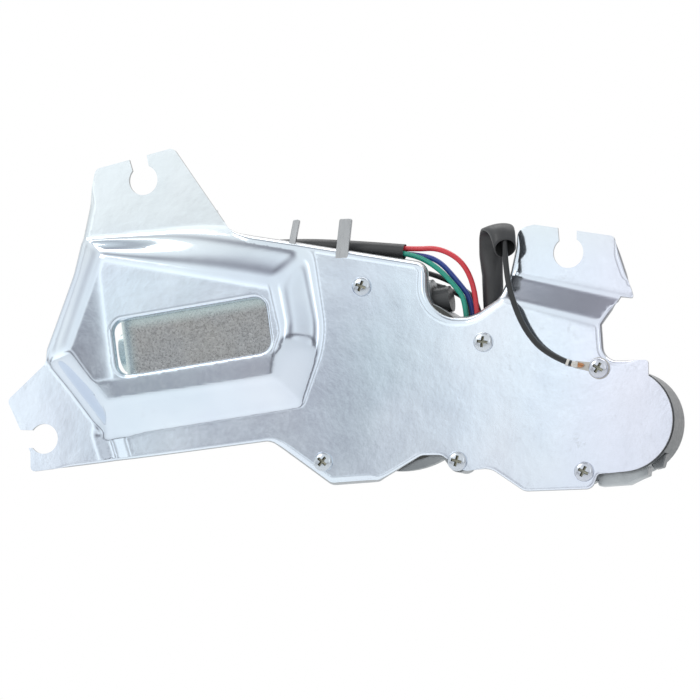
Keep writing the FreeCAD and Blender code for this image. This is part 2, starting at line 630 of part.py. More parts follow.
def magnets():
    pieces = []
    for side in (-1, 1):
        arc = along(CORE_REAR - 2, CORE_REAR + CORE_LEN + 2, CAN_R - CAN_WALL)
        arc = arc.cut(along(CORE_REAR - 3, CORE_REAR + CORE_LEN + 3, CORE_R + 0.7))
        tall = CAN_R + 2
        corner = V(CORE_REAR - 5, -CAN_FLAT + CAN_WALL + 1.5, 7 if side > 0 else -7 - tall)
        keep = Part.makeBox(CORE_LEN + 10, 2 * (CAN_FLAT - CAN_WALL) - 3, tall, corner)
        pieces.append(place(arc.common(keep)))
    return group(pieces)


def magnet_clips():
    pieces = []
    for side in (-1, 1):
        y = side * (CAN_FLAT - CAN_WALL - 0.45)
        pieces.append(place(Part.makeBox(CORE_LEN, 0.8, 13.6, V(CORE_REAR, y - 0.4, -6.8))))
    return group(pieces)


def worm_shaft():
    shaft = along(CAN_REAR - 2.5, WORM_HALF + 3, SHAFT_R)
    shaft = shaft.fuse(along(-WORM_HALF - 2, WORM_HALF + 1, WORM_R - 1.15 * MODULE))
    pitch = math.pi * MODULE
    helix = Part.makeHelix(pitch, 2 * WORM_HALF, WORM_R - 1.3 * MODULE)
    root_half = (math.pi * MODULE / 2 - BACKLASH) / 2 + 1.3 * MODULE * math.tan(math.radians(20))
    tip_half = (math.pi * MODULE / 2 - BACKLASH) / 2 - 0.9 * MODULE * math.tan(math.radians(20))
    r0, r1 = WORM_R - 1.3 * MODULE, WORM_R + 0.9 * MODULE
    corners = [V(r0, 0, -root_half), V(r1, 0, -tip_half), V(r1, 0, tip_half), V(r0, 0, root_half)]
    profile = Part.makePolygon(corners + corners[:1])
    thread = Part.Wire(helix).makePipeShell([profile], True, True)
    thread.translate(V(0, 0, -WORM_HALF))
    phase = 360 * (WORM_HALF / pitch % 1)
    thread.rotate(V(0, 0, 0), V(0, 0, 1), -phase)
    thread.rotate(V(0, 0, 0), V(0, 1, 0), 90)
    return place(shaft.fuse(thread))


def coil_spot(a):
    return V(CORE_REAR, 12.6 * math.cos(a), 12.6 * math.sin(a))


def armature_core():
    core = along(CORE_REAR, CORE_REAR + CORE_LEN, CORE_R).cut(along(-200, 0, SHAFT_R))
    for i in range(10):
        a = 2 * math.pi * i / 10
        slot = Part.makeCylinder(2.7, CORE_LEN, coil_spot(a), V(1, 0, 0))
        gap = Part.makeBox(CORE_LEN, 8, 1.4, V(CORE_REAR, 11, -0.7))
        gap.rotate(V(0, 0, 0), V(1, 0, 0), math.degrees(a))
        core = core.cut(slot).cut(gap)
    return place(core)


def armature_windings():
    ends = []
    for s0 in (CORE_REAR - END_TURNS, CORE_REAR + CORE_LEN):
        ends.append(along(s0, s0 + END_TURNS, 15.2).cut(along(s0, s0 + END_TURNS, 5)))
    coil = ends[0].fuse(ends[1])
    for i in range(10):
        a = 2 * math.pi * i / 10
        coil = coil.fuse(Part.makeCylinder(2.4, CORE_LEN, coil_spot(a), V(1, 0, 0)))
    return place(coil)


def commutator():
    body = along(COMM_REAR, COMM_REAR + COMM_LEN, COMM_R).cut(along(-200, 0, SHAFT_R))
    for i in range(10):
        gap = Part.makeBox(COMM_LEN, 3, 0.6, V(COMM_REAR, COMM_R - 1, -0.3))
        gap.rotate(V(0, 0, 0), V(1, 0, 0), 36 * i)
        body = body.cut(gap)
    return place(body)


def brush_holder():
    plate = double_d(BRUSH_PLATE, BRUSH_PLATE + 2, CAN_R - CAN_WALL - 0.2, CAN_FLAT - CAN_WALL - 0.2)
    plate = plate.cut(along(BRUSH_PLATE, BRUSH_PLATE + 2, COMM_R + 1.6))
    for side in (-1, 1):
        z0 = COMM_R + 1.6 if side > 0 else -24.5
        box = Part.makeBox(9, 7.4, 24.5 - COMM_R - 1.6, V(BRUSH_PLATE - 9, -3.7, z0))
        z1 = COMM_R if side > 0 else -23.7
        hole = Part.makeBox(7, 5.2, 23.7 - COMM_R, V(BRUSH_PLATE - 8, -2.6, z1))
        plate = plate.fuse(box).cut(hole)
    return place(plate)


def brushes():
    pieces = []
    for side in (-1, 1):
        z0 = 5 if side > 0 else -17.5
        block = Part.makeBox(6.8, 5.0, 12.5, V(BRUSH_PLATE - 7.9, -2.5, z0))
        pieces.append(place(block.cut(along(COMM_REAR - 5, COMM_REAR + COMM_LEN + 5, COMM_R + 0.3))))
    return group(pieces)


def brush_springs():
    pieces = []
    for side in (-1, 1):
        helix = Part.makeHelix(1.5, 5.2, 1.8)
        wire = Part.Wire(Part.Circle(V(1.8, 0, 0), V(0, 1, 0.13), 0.3).toShape())
        spring = Part.Wire(helix).makePipeShell([wire], True, True)
        spring.translate(V(BRUSH_PLATE - 4.5, 0, 17.95))
        if side < 0:
            spring.rotate(V(0, 0, 0), V(1, 0, 0), 180)
        pieces.append(place(spring))
    return group(pieces)


def bush_along(s0, s1, r):
    return place(along(s0, s1, r).cut(along(s0, s1, SHAFT_R + RUN)))


def shaft_end_cap():
    cap = along(TUNNEL_END, TUNNEL_END + 7.0, 5.6).fuse(along(TUNNEL_END - 2.5, TUNNEL_END, 7.0))
    return place(cap.fuse(Part.makeBox(3, 3, 12.4, V(TUNNEL_END + 2, -1.5, -6.2))).removeSplitter())


def contact_disc():
    y = WHEEL_FRONT + WHEEL_T
    disc = cyl(WHEEL_X, WHEEL_Z, 20, y, y + 0.5).cut(cyl(WHEEL_X, WHEEL_Z, 10.5, y, y + 0.5))
    park = Part.makeBox(5, 0.5, 9, V(WHEEL_X + 15.5, y, WHEEL_Z - 4.5))
    return disc.cut(park)


def contact_board():
    return Part.makeBox(16, 1.6, 26, V(WHEEL_X + 12, BACK_IN - 1.6, WHEEL_Z - 13))


def contact_springs():
    strips = []
    front = WHEEL_FRONT + WHEEL_T + 0.6
    rear = BACK_IN - 1.6
    for i, reach in ((-1, 12.5), (0, 16.0), (1, 19.0)):
        x0 = WHEEL_X + reach - 1.5
        z = WHEEL_Z + 8.0 * i
        under = [(0, front), (3, front), (7, rear - 0.5), (9, rear - 0.5)]
        upper = [(9, rear), (6.6, rear), (2.7, front + 0.5), (0, front + 0.5), (0, front)]
        profile = Part.makePolygon([V(x0 + x, y, z) for x, y in under + upper])
        strips.append(Part.Face(profile).extrude(V(0, 0, 2.4)))
    return group(strips)


def cord_line(points):
    p = [V(*q) for q in points]
    edges = []
    last = p[0]
    for i in range(1, len(p) - 1):
        a = p[i - 1] - p[i]
        b = p[i + 1] - p[i]
        turn = math.pi - a.getAngle(b)
        radius = MIN_CORD_TURN * min(a.Length, b.Length) / math.tan(turn / 2)
        a.normalize()
        b.normalize()
        reach = radius * math.tan(turn / 2)
        middle = a + b
        middle.normalize()
        apex = p[i] + middle * (radius / math.cos(turn / 2) - radius)
        edges.append(Part.makeLine(last, p[i] + a * reach))
        edges.append(Part.Arc(p[i] + a * reach, apex, p[i] + b * reach).toShape())
        last = p[i] + b * reach
        run = (p[i] - p[i - 1]).Length
        print("   turn", round(math.degrees(turn), 1), "radius", round(radius, 2), "run", round(run, 1))
    edges.append(Part.makeLine(last, p[-1]))
    return Part.Wire(edges)


def sweep(path, r):
    start = path.Edges[0].Vertexes[0].Point
    heading = path.Edges[0].tangentAt(path.Edges[0].FirstParameter)
    ring_wire = Part.Wire(Part.Circle(start, heading, r).toShape())
    return path.makePipeShell([ring_wire], True, False)


def cord(name, points, r):
    print(name)
    path = cord_line(points)
    solid = sweep(path, r)
    print("   volume ratio", round(solid.Volume / (math.pi * r * r * path.Length), 4))
    return solid


CONNECTOR_Z = CAN_R + 44.3
SLEEVE = [(-170, 9.3, CONNECTOR_Z + 6.2), (-152, 8.4, 79.4), (-124, 7.8, 78.0), (-96.5, 7.6, 75.0)]
sleeve_end = V(*SLEEVE[-1])
sleeve_dir = sleeve_end - V(*SLEEVE[-2])
sleeve_dir.normalize()
sleeve_up = V(0, 1, 0).cross(sleeve_dir) * -1


def in_sleeve(depth, up, side):
    return tuple(sleeve_end - sleeve_dir * depth + sleeve_up * up + V(0, side, 0))


def from_sleeve(up, side):
    return [in_sleeve(6, up, side), in_sleeve(-4, up, side)]


def into_port(name):
    return [tuple(port(name, PORT_OUT + 6.5)), tuple(port(name, PORT_IN))]


def from_motor(name):
    back, up = LEADS[name]
    return [on_motor(LEAD_S, back, up), on_motor(LEAD_S + 15, back, up)]


UPPER_LEAD = [(-116, 16.0, 71.0), (-100, 16.5, 68.6), (-88, 15.5, 66.6), (-75, 14.0, 61.0)]
LOWER_LEAD = [(-116, 20.5, 67.2), (-100, 21.2, 64.4), (-88, 20.5, 62.4), (-75.5, 18.4, 57.5)]
ROUTES = {
    "red_wire": from_sleeve(1.36, 0) + [(-80, 5.0, 76.0), (-68.5, 5.0, 68.5)] + into_port("red"),
    "blue_wire": from_sleeve(-0.68, 1.18) + [(-82.0, 7.6, 71.5), (-74.0, 8.8, 62.5)] + into_port("blue"),
    "green_wire": from_sleeve(-0.68, -1.18) + [(-81.5, 4.2, 67.8), (-74.0, 5.4, 59.8)] + into_port("green"),
    "black_wire_upper": from_motor("black_a") + UPPER_LEAD + into_port("black_a"),
    "black_wire_lower": from_motor("black_b") + LOWER_LEAD + into_port("black_b")}

SLEEVE_TUBE = [(-58.0, 11.2, PORT_OUT), (-58.0, 11.2, 61.0), (-57.4, 9.6, 83.0)]
SLEEVE_TUBE += [(-49.5, -5.1, 83.2), (-49.0, -5.4, 69.5)]
GROUND = SLEEVE_TUBE[:-1]
GROUND += [(-48.9, -5.5, 68.0), (-46.6, -6.4, 54.0), (-40.5, -6.2, 38.5)]
GROUND += [(-31.0, -5.2, 27.8), (-21.0, -3.1, 24.0)]
TUBE_R = 4.2
TUBE_IN = 3.3


def harness_sleeve():
    path = cord_line(SLEEVE)
    body = sweep(path, SLEEVE_R)
    pocket = Part.makeCylinder(SLEEVE_IN, 6.5, sleeve_end - sleeve_dir * 6.5, sleeve_dir)
    return body.cut(pocket)


def ground_sleeve():
    path = cord_line(SLEEVE_TUBE)
    return sweep(path, TUBE_R).cut(sweep(path, TUBE_IN))


def ring_terminal():
    x, z = TERMINAL_SCREW
    end = V(*GROUND[-1])
    pad = cyl(x, z, 4.6, -SHEET - TERMINAL_T, -SHEET)
    reach = math.hypot(end.x - x, end.z - z)
    neck = Part.makeBox(reach + 1.5, TERMINAL_T, 3.6, V(0, -SHEET - TERMINAL_T, -1.8))
    neck.rotate(V(0, 0, 0), V(0, 1, 0), -math.degrees(aim(x, z, end.x, end.z)))
    neck.translate(V(x, 0, z))
    flow = end - V(*GROUND[-2])
    flow.normalize()
    barrel = Part.makeCylinder(GROUND_R + 0.5, 5, end - flow * 4, flow)
    pad = pad.fuse(neck).fuse(barrel).cut(cyl(x, z, SCREW_HOLE, -4, 0))
    pad = pad.cut(Part.makeCylinder(GROUND_R, 4, end - flow * 4, flow))
    return pad.common(Part.makeBox(60, 20, 60, V(-50, -20 - SHEET, -10)))


def harness_connector():
    body = Part.makeBox(27, 15, 12.5, V(-199.5, 2.4, CONNECTOR_Z))
    mouth = Part.makeBox(14, 11.4, 8.9, V(-199.5, 4.2, CONNECTOR_Z + 1.8))
    body = body.cut(mouth)
    sleeve_start = V(*SLEEVE[0])
    into = V(*SLEEVE[1]) - sleeve_start
    into.normalize()
    return body.cut(Part.makeCylinder(SLEEVE_R, 6, sleeve_start - into * 0.01, into))


def connector_pins():
    pins = []
    for row in range(2):
        for column in range(3):
            spot = V(-195.5, 6.4 + 3.2 * column, CONNECTOR_Z + 3.1 + 4.2 * row)
            pins.append(Part.makeBox(10, 0.8, 2.0, spot))
    return group(pins)


def connector_bracket():
    tab = Part.makeBox(14, 1.2, 9.0, V(-193, 0, CONNECTOR_Z + 13.7))
    top = Part.makeBox(14, 18.6, 1.2, V(-193, 0, CONNECTOR_Z + 12.5))
    leg = Part.makeBox(14, 1.2, 12.5, V(-193, 17.4, CONNECTOR_Z + 1.2))
    return tab.fuse(top).fuse(leg).removeSplitter()


export("mounting_plate", mounting_plate())
export("cover_screws", group([screw(*spot, seat_of(spot)) for spot in SCREWS]))
export("gear_housing", gear_housing())
export("housing_gasket", housing_gasket())
export("wheel_axle", wheel_axle())
export("wheel_clip", clip(WHEEL_X, WHEEL_Z, 4.0, 6.25, 6.8, 250))
export("worm_wheel", worm_wheel())
export("crank_pin", crank_pin())
export("crank_clip", clip(pin_x, pin_z, PIN_R, 2.3, 2.9, 200))
export("connecting_rod", connecting_rod())
export("rod_bushes", rod_bushes())
export("output_lever", output_lever())
export("lever_pin", lever_pin())
export("output_spindle", output_spindle())
bore = SPINDLE_R + RUN
front_bush = ring(bore, BUSH_R, SPIN_BOSS_FRONT, 22)
export("spindle_bushes", group([front_bush, ring(bore, BUSH_R, 33, SPIN_BOSS_END)]))
export("thrust_washer", ring(bore, 8.5, LEVER_FRONT + LEVER_T + 0.1, SPIN_BOSS_FRONT - 0.1))
export("spindle_washer", ring(bore, 8.5, SPIN_BOSS_END + 0.05, SPIN_BOSS_END + 1.05))
export("spindle_circlip", clip(0, 0, SPINDLE_R, SPIN_BOSS_END + 1.2, SPIN_BOSS_END + 2.2, 90))
export("spindle_seal", spindle_seal())
export("motor_can", motor_can())
export("can_screws", can_screws())
export("magnets", magnets())
export("magnet_clips", magnet_clips())
export("worm_shaft", worm_shaft())
export("armature_core", armature_core())
export("armature_windings", armature_windings())
export("commutator", commutator())
export("brush_holder", brush_holder())
export("brushes", brushes())
export("brush_springs", brush_springs())
export("rear_bush", bush_along(CAN_REAR - 3, CAN_REAR + 5, 6.5))
export("front_bearing", bush_along(CAN_FRONT + 3, CAN_FRONT + 9, 11))
export("thrust_button", place(along(WORM_HALF + 3.1, TUNNEL_END - 2.5, BUTTON_R)))
export("shaft_end_cap", shaft_end_cap())
export("contact_disc", contact_disc())
export("contact_board", contact_board())
export("contact_springs", contact_springs())
export("wiring_grommet", wiring_grommet())
for name, points in ROUTES.items():
    export(name, cord(name, points, WIRE_R))
export("harness_sleeve", harness_sleeve())
export("ground_sleeve", ground_sleeve())
export("ground_wire", cord("ground_wire", GROUND, GROUND_R))
export("ring_terminal", ring_terminal())
export("harness_connector", harness_connector())
export("connector_pins", connector_pins())
export("connector_bracket", connector_bracket())
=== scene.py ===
import json
import math

import bmesh
import bpy
import numpy as np
from mathutils import Matrix, Vector
from mathutils.geometry import delaunay_2d_cdt
from mathutils.kdtree import KDTree


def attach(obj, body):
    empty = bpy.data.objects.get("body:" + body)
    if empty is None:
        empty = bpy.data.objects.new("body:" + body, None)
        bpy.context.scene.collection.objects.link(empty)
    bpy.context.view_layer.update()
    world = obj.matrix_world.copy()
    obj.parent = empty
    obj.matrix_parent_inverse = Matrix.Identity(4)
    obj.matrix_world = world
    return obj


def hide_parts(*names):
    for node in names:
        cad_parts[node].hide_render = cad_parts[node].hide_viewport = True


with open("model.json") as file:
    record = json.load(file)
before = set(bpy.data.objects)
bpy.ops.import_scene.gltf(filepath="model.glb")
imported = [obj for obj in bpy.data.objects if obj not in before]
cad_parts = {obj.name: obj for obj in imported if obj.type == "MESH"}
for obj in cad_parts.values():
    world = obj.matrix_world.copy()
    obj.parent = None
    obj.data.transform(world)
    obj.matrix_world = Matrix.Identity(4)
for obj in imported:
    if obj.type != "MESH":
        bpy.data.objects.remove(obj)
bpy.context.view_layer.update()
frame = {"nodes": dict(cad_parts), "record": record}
print("frame loaded:", len(frame["nodes"]), "nodes")

# Places below are in millimetres: x to the right, z up, and y back from the bracket's rear face.
studDepth = 66.0
motorTilt = math.radians(7.7)  # the motor and the window in front of it lean by this angle
windowShape = {"x": -187.0, "z": 38.9, "width": 70.0, "height": 23.5, "corner": 5.0}


def at(x, y, z):
    return Vector((x, y - studDepth, z)) / 1000


class Tone:
    def __init__(self, kit, socket):
        self.kit, self.socket = kit, socket

    def __add__(self, other):
        return self.kit.calc("ADD", self, other)

    def __sub__(self, other):
        return self.kit.calc("SUBTRACT", self, other)

    def __rsub__(self, other):
        return self.kit.calc("SUBTRACT", other, self)

    def __mul__(self, other):
        return self.kit.calc("MULTIPLY", self, other)

    __radd__ = __add__
    __rmul__ = __mul__


class Finish:
    def __init__(self, owner):
        self.owner = owner
        owner.use_nodes = True
        self.tree = owner.node_tree
        self.tree.nodes.clear()

    def node(self, kind, settings=None, inputs=None, out=0):
        made = self.tree.nodes.new(kind)
        for key, value in (settings or {}).items():
            setattr(made, key, value)
        for key, value in (inputs or {}).items():
            if isinstance(value, Tone):
                self.tree.links.new(value.socket, made.inputs[key])
            elif value is not None:
                made.inputs[key].default_value = value
        return Tone(self, made.outputs[out])

    def calc(self, operation, *values):
        return self.node("ShaderNodeMath", {"operation": operation}, dict(enumerate(values)))

    def finishWith(self, shader, kind="ShaderNodeOutputMaterial"):
        output = self.tree.nodes.new(kind)
        self.tree.links.new(shader.socket, output.inputs["Surface"])
        return self.owner

    def place(self, scale=(1, 1, 1), turn=(0, 0, 0)):
        where = self.node("ShaderNodeTexCoord", out=3)
        return self.node("ShaderNodeMapping", {}, {"Vector": where, "Scale": scale, "Rotation": turn})

    def axis(self, index):
        return self.node("ShaderNodeSeparateXYZ", {}, {0: self.node("ShaderNodeTexCoord", out=3)}, index)

    def noise(self, scale, detail=4.0, rough=0.5, stretch=(1, 1, 1)):
        inputs = {"Vector": self.place(stretch), "Scale": scale, "Detail": detail, "Roughness": rough}
        return self.node("ShaderNodeTexNoise", {}, inputs)

    def spread(self, value, low, high, start=0.0, end=1.0, way="LINEAR"):
        inputs = {0: value, 1: low, 2: high, 3: start, 4: end}
        return self.node("ShaderNodeMapRange", {"interpolation_type": way}, inputs)

    def blend(self, share, first, second):
        first, second = [(*c, 1) if isinstance(c, tuple) else c for c in (first, second)]
        return self.node("ShaderNodeMix", {"data_type": "RGBA"}, {0: share, 6: first, 7: second}, 2)

    def bump(self, height, distance, strength, under=None):
        inputs = {"Height": height, "Distance": distance, "Strength": strength, "Normal": under}
        return self.node("ShaderNodeBump", {}, inputs)

    def done(self, **sockets):
        names = {
            "colour": "Base Color", "rough": "Roughness", "metal": "Metallic", "coat": "Coat Weight",
            "normal": "Normal"}
        values = {names[k]: (*v, 1) if isinstance(v, tuple) else v for k, v in sockets.items()}
        return self.finishWith(self.node("ShaderNodeBsdfPrincipled", {}, values))


def newFinish(name):
    return Finish(bpy.data.materials.new(name))


def zincFinish(name="brightZinc", wearAndShade=0.0):
    kit = newFinish(name)
    cloud = kit.noise(24, 3, 0.55)
    grain = kit.noise(520, 5, 0.65)
    tint = kit.noise(13, 2, 0.5, (1, 1, 0.7))
    base = kit.blend(kit.spread(cloud, 0.32, 0.68), (0.70, 0.76, 0.86), (0.80, 0.86, 0.94))
    warm = kit.blend(kit.spread(tint, 0.50, 0.72, 0, 0.45), base, (0.84, 0.79, 0.85))
    cool = kit.blend(kit.spread(tint, 0.47, 0.30, 0, 0.40), warm, (0.66, 0.80, 0.86))
    rightEnd = kit.spread(kit.axis(0), -0.045, 0.0, 0, 0.55, "SMOOTHSTEP")
    cool = kit.blend(rightEnd, cool, (0.82, 0.79, 0.90))
    topEar = kit.spread(kit.axis(2), 0.062, 0.095, 0, 0.6, "SMOOTHSTEP")
    cool = kit.blend(topEar, cool, (0.79, 0.81, 0.80))
    marks = kit.spread(kit.noise(170, 6, 0.8), 0.60, 0.72)
    colour = kit.blend(marks * 0.25, cool, (0.55, 0.57, 0.62))
    # This darkening is real wear on the screw heads, and painted shade on the turned-back half of the rolled
    # rims.
    colour = kit.blend(wearAndShade, colour, (0.30, 0.29, 0.28))
    rough = 0.06 + 0.30 * wearAndShade + kit.spread(grain, 0.3, 0.7, 0, 0.04)
    rough = rough + kit.spread(cloud, 0.3, 0.7, 0, 0.04) + marks * 0.08
    soft = kit.bump(kit.noise(38, 3, 0.5), 0.0005, 0.22)
    return kit.done(colour=colour, rough=rough, metal=0.97, normal=kit.bump(grain, 0.00005, 0.25, soft))


def bareSteelFinish(name, colour, rough, lines=(1, 1, 1)):
    kit = newFinish(name)
    grain = kit.noise(600, 4, 0.6, lines)
    cloud = kit.noise(60, 3, 0.5)
    dark = tuple(c * 0.72 for c in colour)
    shade = kit.blend(kit.spread(cloud, 0.3, 0.7) * 0.6 + kit.spread(grain, 0.3, 0.7) * 0.4, dark, colour)
    rough = rough + kit.spread(grain, 0.3, 0.7, 0, 0.15)
    return kit.done(colour=shade, rough=rough, metal=1.0, normal=kit.bump(grain, 0.00005, 0.3))


# Grained can, lighter and cyan towards the window's left end and along its upper edge, where it rounds over:
# partly the smoother formed metal there, partly painted reflection of light from the window's lip.
def spangleFinish():
    kit = newFinish("spangledGalvanised")
    cells = kit.node("ShaderNodeTexVoronoi", {}, {"Vector": kit.place(), "Scale": 1900}, 1)
    flake = kit.node("ShaderNodeRGBToBW", {}, {0: cells})
    fine = kit.noise(1100, 5, 0.75)
    cloud = kit.noise(60, 3, 0.5)
    mix = kit.spread(flake, 0.2, 0.8) * 0.4 + kit.spread(fine, 0.35, 0.65) * 0.6
    colour = kit.blend(mix, (0.18, 0.18, 0.185), (0.46, 0.46, 0.47))
    colour = kit.blend(kit.spread(cloud, 0.4, 0.7, 0, 0.15), colour, (0.42, 0.37, 0.30))
    x, z = kit.axis(0) - windowShape["x"] / 1000, kit.axis(2) - windowShape["z"] / 1000
    along = x * math.cos(motorTilt) + z * math.sin(motorTilt)
    over = z * math.cos(motorTilt) - x * math.sin(motorTilt)
    leftEnd = kit.spread(along, -0.024, -0.035, 0, 1, "SMOOTHSTEP")
    upperEdge = kit.spread(over, 0.006, 0.012, 0, 0.8, "SMOOTHSTEP")
    roundingAndSheen = kit.calc("MAXIMUM", leftEnd, upperEdge)
    # Lighter cyan: partly the smoother rounded metal, partly painted reflection of light from the window's
    # lip.
    colour = kit.blend(roundingAndSheen * 0.85, colour, (0.58, 0.69, 0.69))
    return kit.done(colour=colour, rough=0.20 + mix * 0.16, metal=0.9, normal=kit.bump(mix, 0.00012, 0.4))


def castFinish(name="castAlloy", lift=1.0):
    kit = newFinish(name)
    sand = kit.noise(700, 4, 0.7)
    cloud = kit.noise(40, 4, 0.6)
    dark, light = [tuple(lift * c for c in tone) for tone in ((0.23, 0.24, 0.25), (0.37, 0.38, 0.39))]
    colour = kit.blend(kit.spread(cloud, 0.3, 0.7), dark, light)
    # Painted shade: the cast housing darkens to the right of the spindle, on the side wall of its round end.
    crescentShade = kit.spread(kit.axis(0), 0.004, 0.018, 0, 0.72, "SMOOTHSTEP")
    colour = kit.blend(crescentShade, colour, (0.08, 0.08, 0.085))
    dirt = kit.spread(kit.noise(120, 5, 0.75), 0.56, 0.70)
    colour = kit.blend(dirt * 0.3, colour, (0.25, 0.25, 0.26))
    rough = 0.30 + kit.spread(sand, 0.3, 0.7, 0, 0.18)
    return kit.done(colour=colour, rough=rough, metal=0.9, normal=kit.bump(sand, 0.0002, 0.5))


def plainFinish(name, colour, rough, grainScale=500, depth=0.00006, coat=0.0, shade=0.75):
    kit = newFinish(name)
    grain = kit.noise(grainScale, 4, 0.6)
    cloud = kit.noise(50, 3, 0.5)
    dark = tuple(c * shade for c in colour)
    mixed = kit.blend(kit.spread(cloud, 0.3, 0.7) * 0.6 + kit.spread(grain, 0.3, 0.7) * 0.4, dark, colour)
    rough = rough + kit.spread(grain, 0.3, 0.7, 0, 0.14)
    return kit.done(colour=mixed, rough=rough, coat=coat, metal=0.0, normal=kit.bump(grain, depth, 0.5))


def layeredFinish():
    kit = newFinish("coreLayers")
    inputs = {"Vector": kit.place(turn=(0, -motorTilt, 0)), "Scale": 320, "Distortion": 0.2}
    stripe = kit.node("ShaderNodeTexWave", {"bands_direction": "X"}, inputs)
    colour = kit.blend(stripe, (0.16, 0.16, 0.17), (0.36, 0.36, 0.37))
    return kit.done(colour=colour, rough=0.45 + stripe * 0.1, metal=0.9, normal=kit.bump(stripe, 0.0002, 0.6))


def copperFinish():
    kit = newFinish("enamelledCopper")
    inputs = {"Vector": kit.place(), "Scale": 420, "Distortion": 3.0, "Detail": 2.0}
    strands = kit.node("ShaderNodeTexWave", {"bands_direction": "DIAGONAL"}, inputs)
    colour = kit.blend(strands, (0.40, 0.15, 0.07), (0.78, 0.40, 0.22))
    rough = 0.28 + strands * 0.12
    return kit.done(colour=colour, rough=rough, metal=0.95, normal=kit.bump(strands, 0.0002, 0.5))


print("finishes")
wireColours = {
    "wire_red": (0.62, 0.03, 0.045),
    "wire_blue": (0.02, 0.055, 0.30),
    "wire_green": (0.01, 0.31, 0.22),
    "wire_black": (0.012, 0.012, 0.013),
}
finishes = {
    "zinc_plated_steel": zincFinish(),
    # Darker zinc for the sheet's cut edges, and painted shade on the turned-back half of the rolled rims.
    "cutEdgeAndRollShade": zincFinish("cutEdgeAndRollShade", 0.75),
    "die_cast_alloy": castFinish(),
    "lugAlloy": castFinish("lugAlloy", 1.5),
    "galvanised_can": spangleFinish(),
    "ground_steel": bareSteelFinish("groundSteel", (0.50, 0.50, 0.51), 0.24),
    "sintered_bronze": bareSteelFinish("oiledBronze", (0.50, 0.34, 0.16), 0.42),
    "copper": copperFinish(),
    "laminated_steel": layeredFinish(),
    "ferrite": plainFinish("ferrite", (0.075, 0.075, 0.08), 0.6, 380, 0.0002),
    "carbon": plainFinish("carbon", (0.03, 0.03, 0.03), 0.6, 500, 0.0001),
    "nylon_natural": plainFinish("naturalNylon", (0.74, 0.70, 0.60), 0.38, 300, 0.00005, 0.1, 0.88),
    "board_plastic": plainFinish("brownBoard", (0.16, 0.075, 0.03), 0.5, 400),
    "black_plastic": plainFinish("blackPlastic", (0.055, 0.055, 0.058), 0.42, 650, 0.00008, 0.15),
    "gasket_paper": plainFinish("gasketPaper", (0.07, 0.07, 0.065), 0.8, 900, 0.0001),
    "black_rubber": plainFinish("blackRubber", (0.018, 0.018, 0.018), 0.55, 450, 0.0001),
    "sleeve_black": plainFinish("softSleeve", (0.034, 0.033, 0.035), 0.42, 260, 0.0002, 0.1),
    "tinned_copper": bareSteelFinish("tinnedCopper", (0.62, 0.59, 0.55), 0.3),
    "screwRecess": bareSteelFinish("screwRecess", (0.34, 0.33, 0.27), 0.28),
    "screwZinc": zincFinish("screwZinc", 0.38),
    "brushedZinc": bareSteelFinish("brushedZinc", (0.52, 0.52, 0.53), 0.24, (1, 1, 0.12)),
    # Near black: painted shade inside the folded tube's hollow.
    "tubeHollowShade": plainFinish("tubeHollowShade", (0.004, 0.004, 0.004), 0.85),
    "crimp": bareSteelFinish("tinnedCrimp", (0.74, 0.70, 0.66), 0.22),
    "strands": bareSteelFinish("copperStrands", (0.62, 0.30, 0.15), 0.30),
}
for slot, tone in wireColours.items():
    finishes[slot] = plainFinish(slot + "Skin", tone, 0.30, 240, 0.00005, 0.2, 0.85)

slotOf = {part["node"]: part["material_slot"] for part in frame["record"]["subparts"]}
for name, cadPiece in frame["nodes"].items():
    cadPiece.data.materials.clear()
    cadPiece.data.materials.append(finishes[slotOf[name]])


def addPiece(name, mesh, slot, looks=(), stands=(), sharp=40):
    if isinstance(mesh, bmesh.types.BMesh):
        made = bpy.data.meshes.new(name)
        mesh.to_mesh(made)
        mesh.free()
        mesh = made
    piece = bpy.data.objects.new(name, mesh)
    bpy.context.scene.collection.objects.link(piece)
    if hasattr(mesh, "polygons"):
        mesh.polygons.foreach_set("use_smooth", [True] * len(mesh.polygons))
        mesh.set_sharp_from_angle(angle=math.radians(sharp))
    for look in looks or [slot]:
        mesh.materials.append(finishes[look])
    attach(piece, "case")
    if stands:
        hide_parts(*stands)
    return piece


def softEdges(piece, width):
    soften = piece.modifiers.new("softEdge", "BEVEL")
    soften.width, soften.segments = width, 2
    return soften


def sheetWall(piece, thick):
    wall = piece.modifiers.new("wall", "SOLIDIFY")
    wall.thickness, wall.offset = thick / 1000, -1
    return wall


def vertsOf(made):
    return [g for g in made if isinstance(g, bmesh.types.BMVert)]


def edgesOf(made):
    return [g for g in made if isinstance(g, bmesh.types.BMEdge)]


# From the bracket's millimetres to the frame's metres.
def toMetres(bm):
    bmesh.ops.translate(bm, verts=bm.verts, vec=(0, -studDepth, 0))
    bmesh.ops.scale(bm, verts=bm.verts, vec=(0.001, 0.001, 0.001))
    return bm


# Adds one mesh to the whole and frees it.
def joinInto(whole, one):
    part = bpy.data.meshes.new("part")
    one.to_mesh(part)
    one.free()
    whole.from_mesh(part)
    bpy.data.meshes.remove(part)


# Turns an open sheet's faces towards the viewer.
def faceViewer(bm):
    bmesh.ops.recalc_face_normals(bm, faces=bm.faces)
    if sum(f.normal.y * f.calc_area() for f in bm.faces) > 0:
        bmesh.ops.reverse_faces(bm, faces=bm.faces)


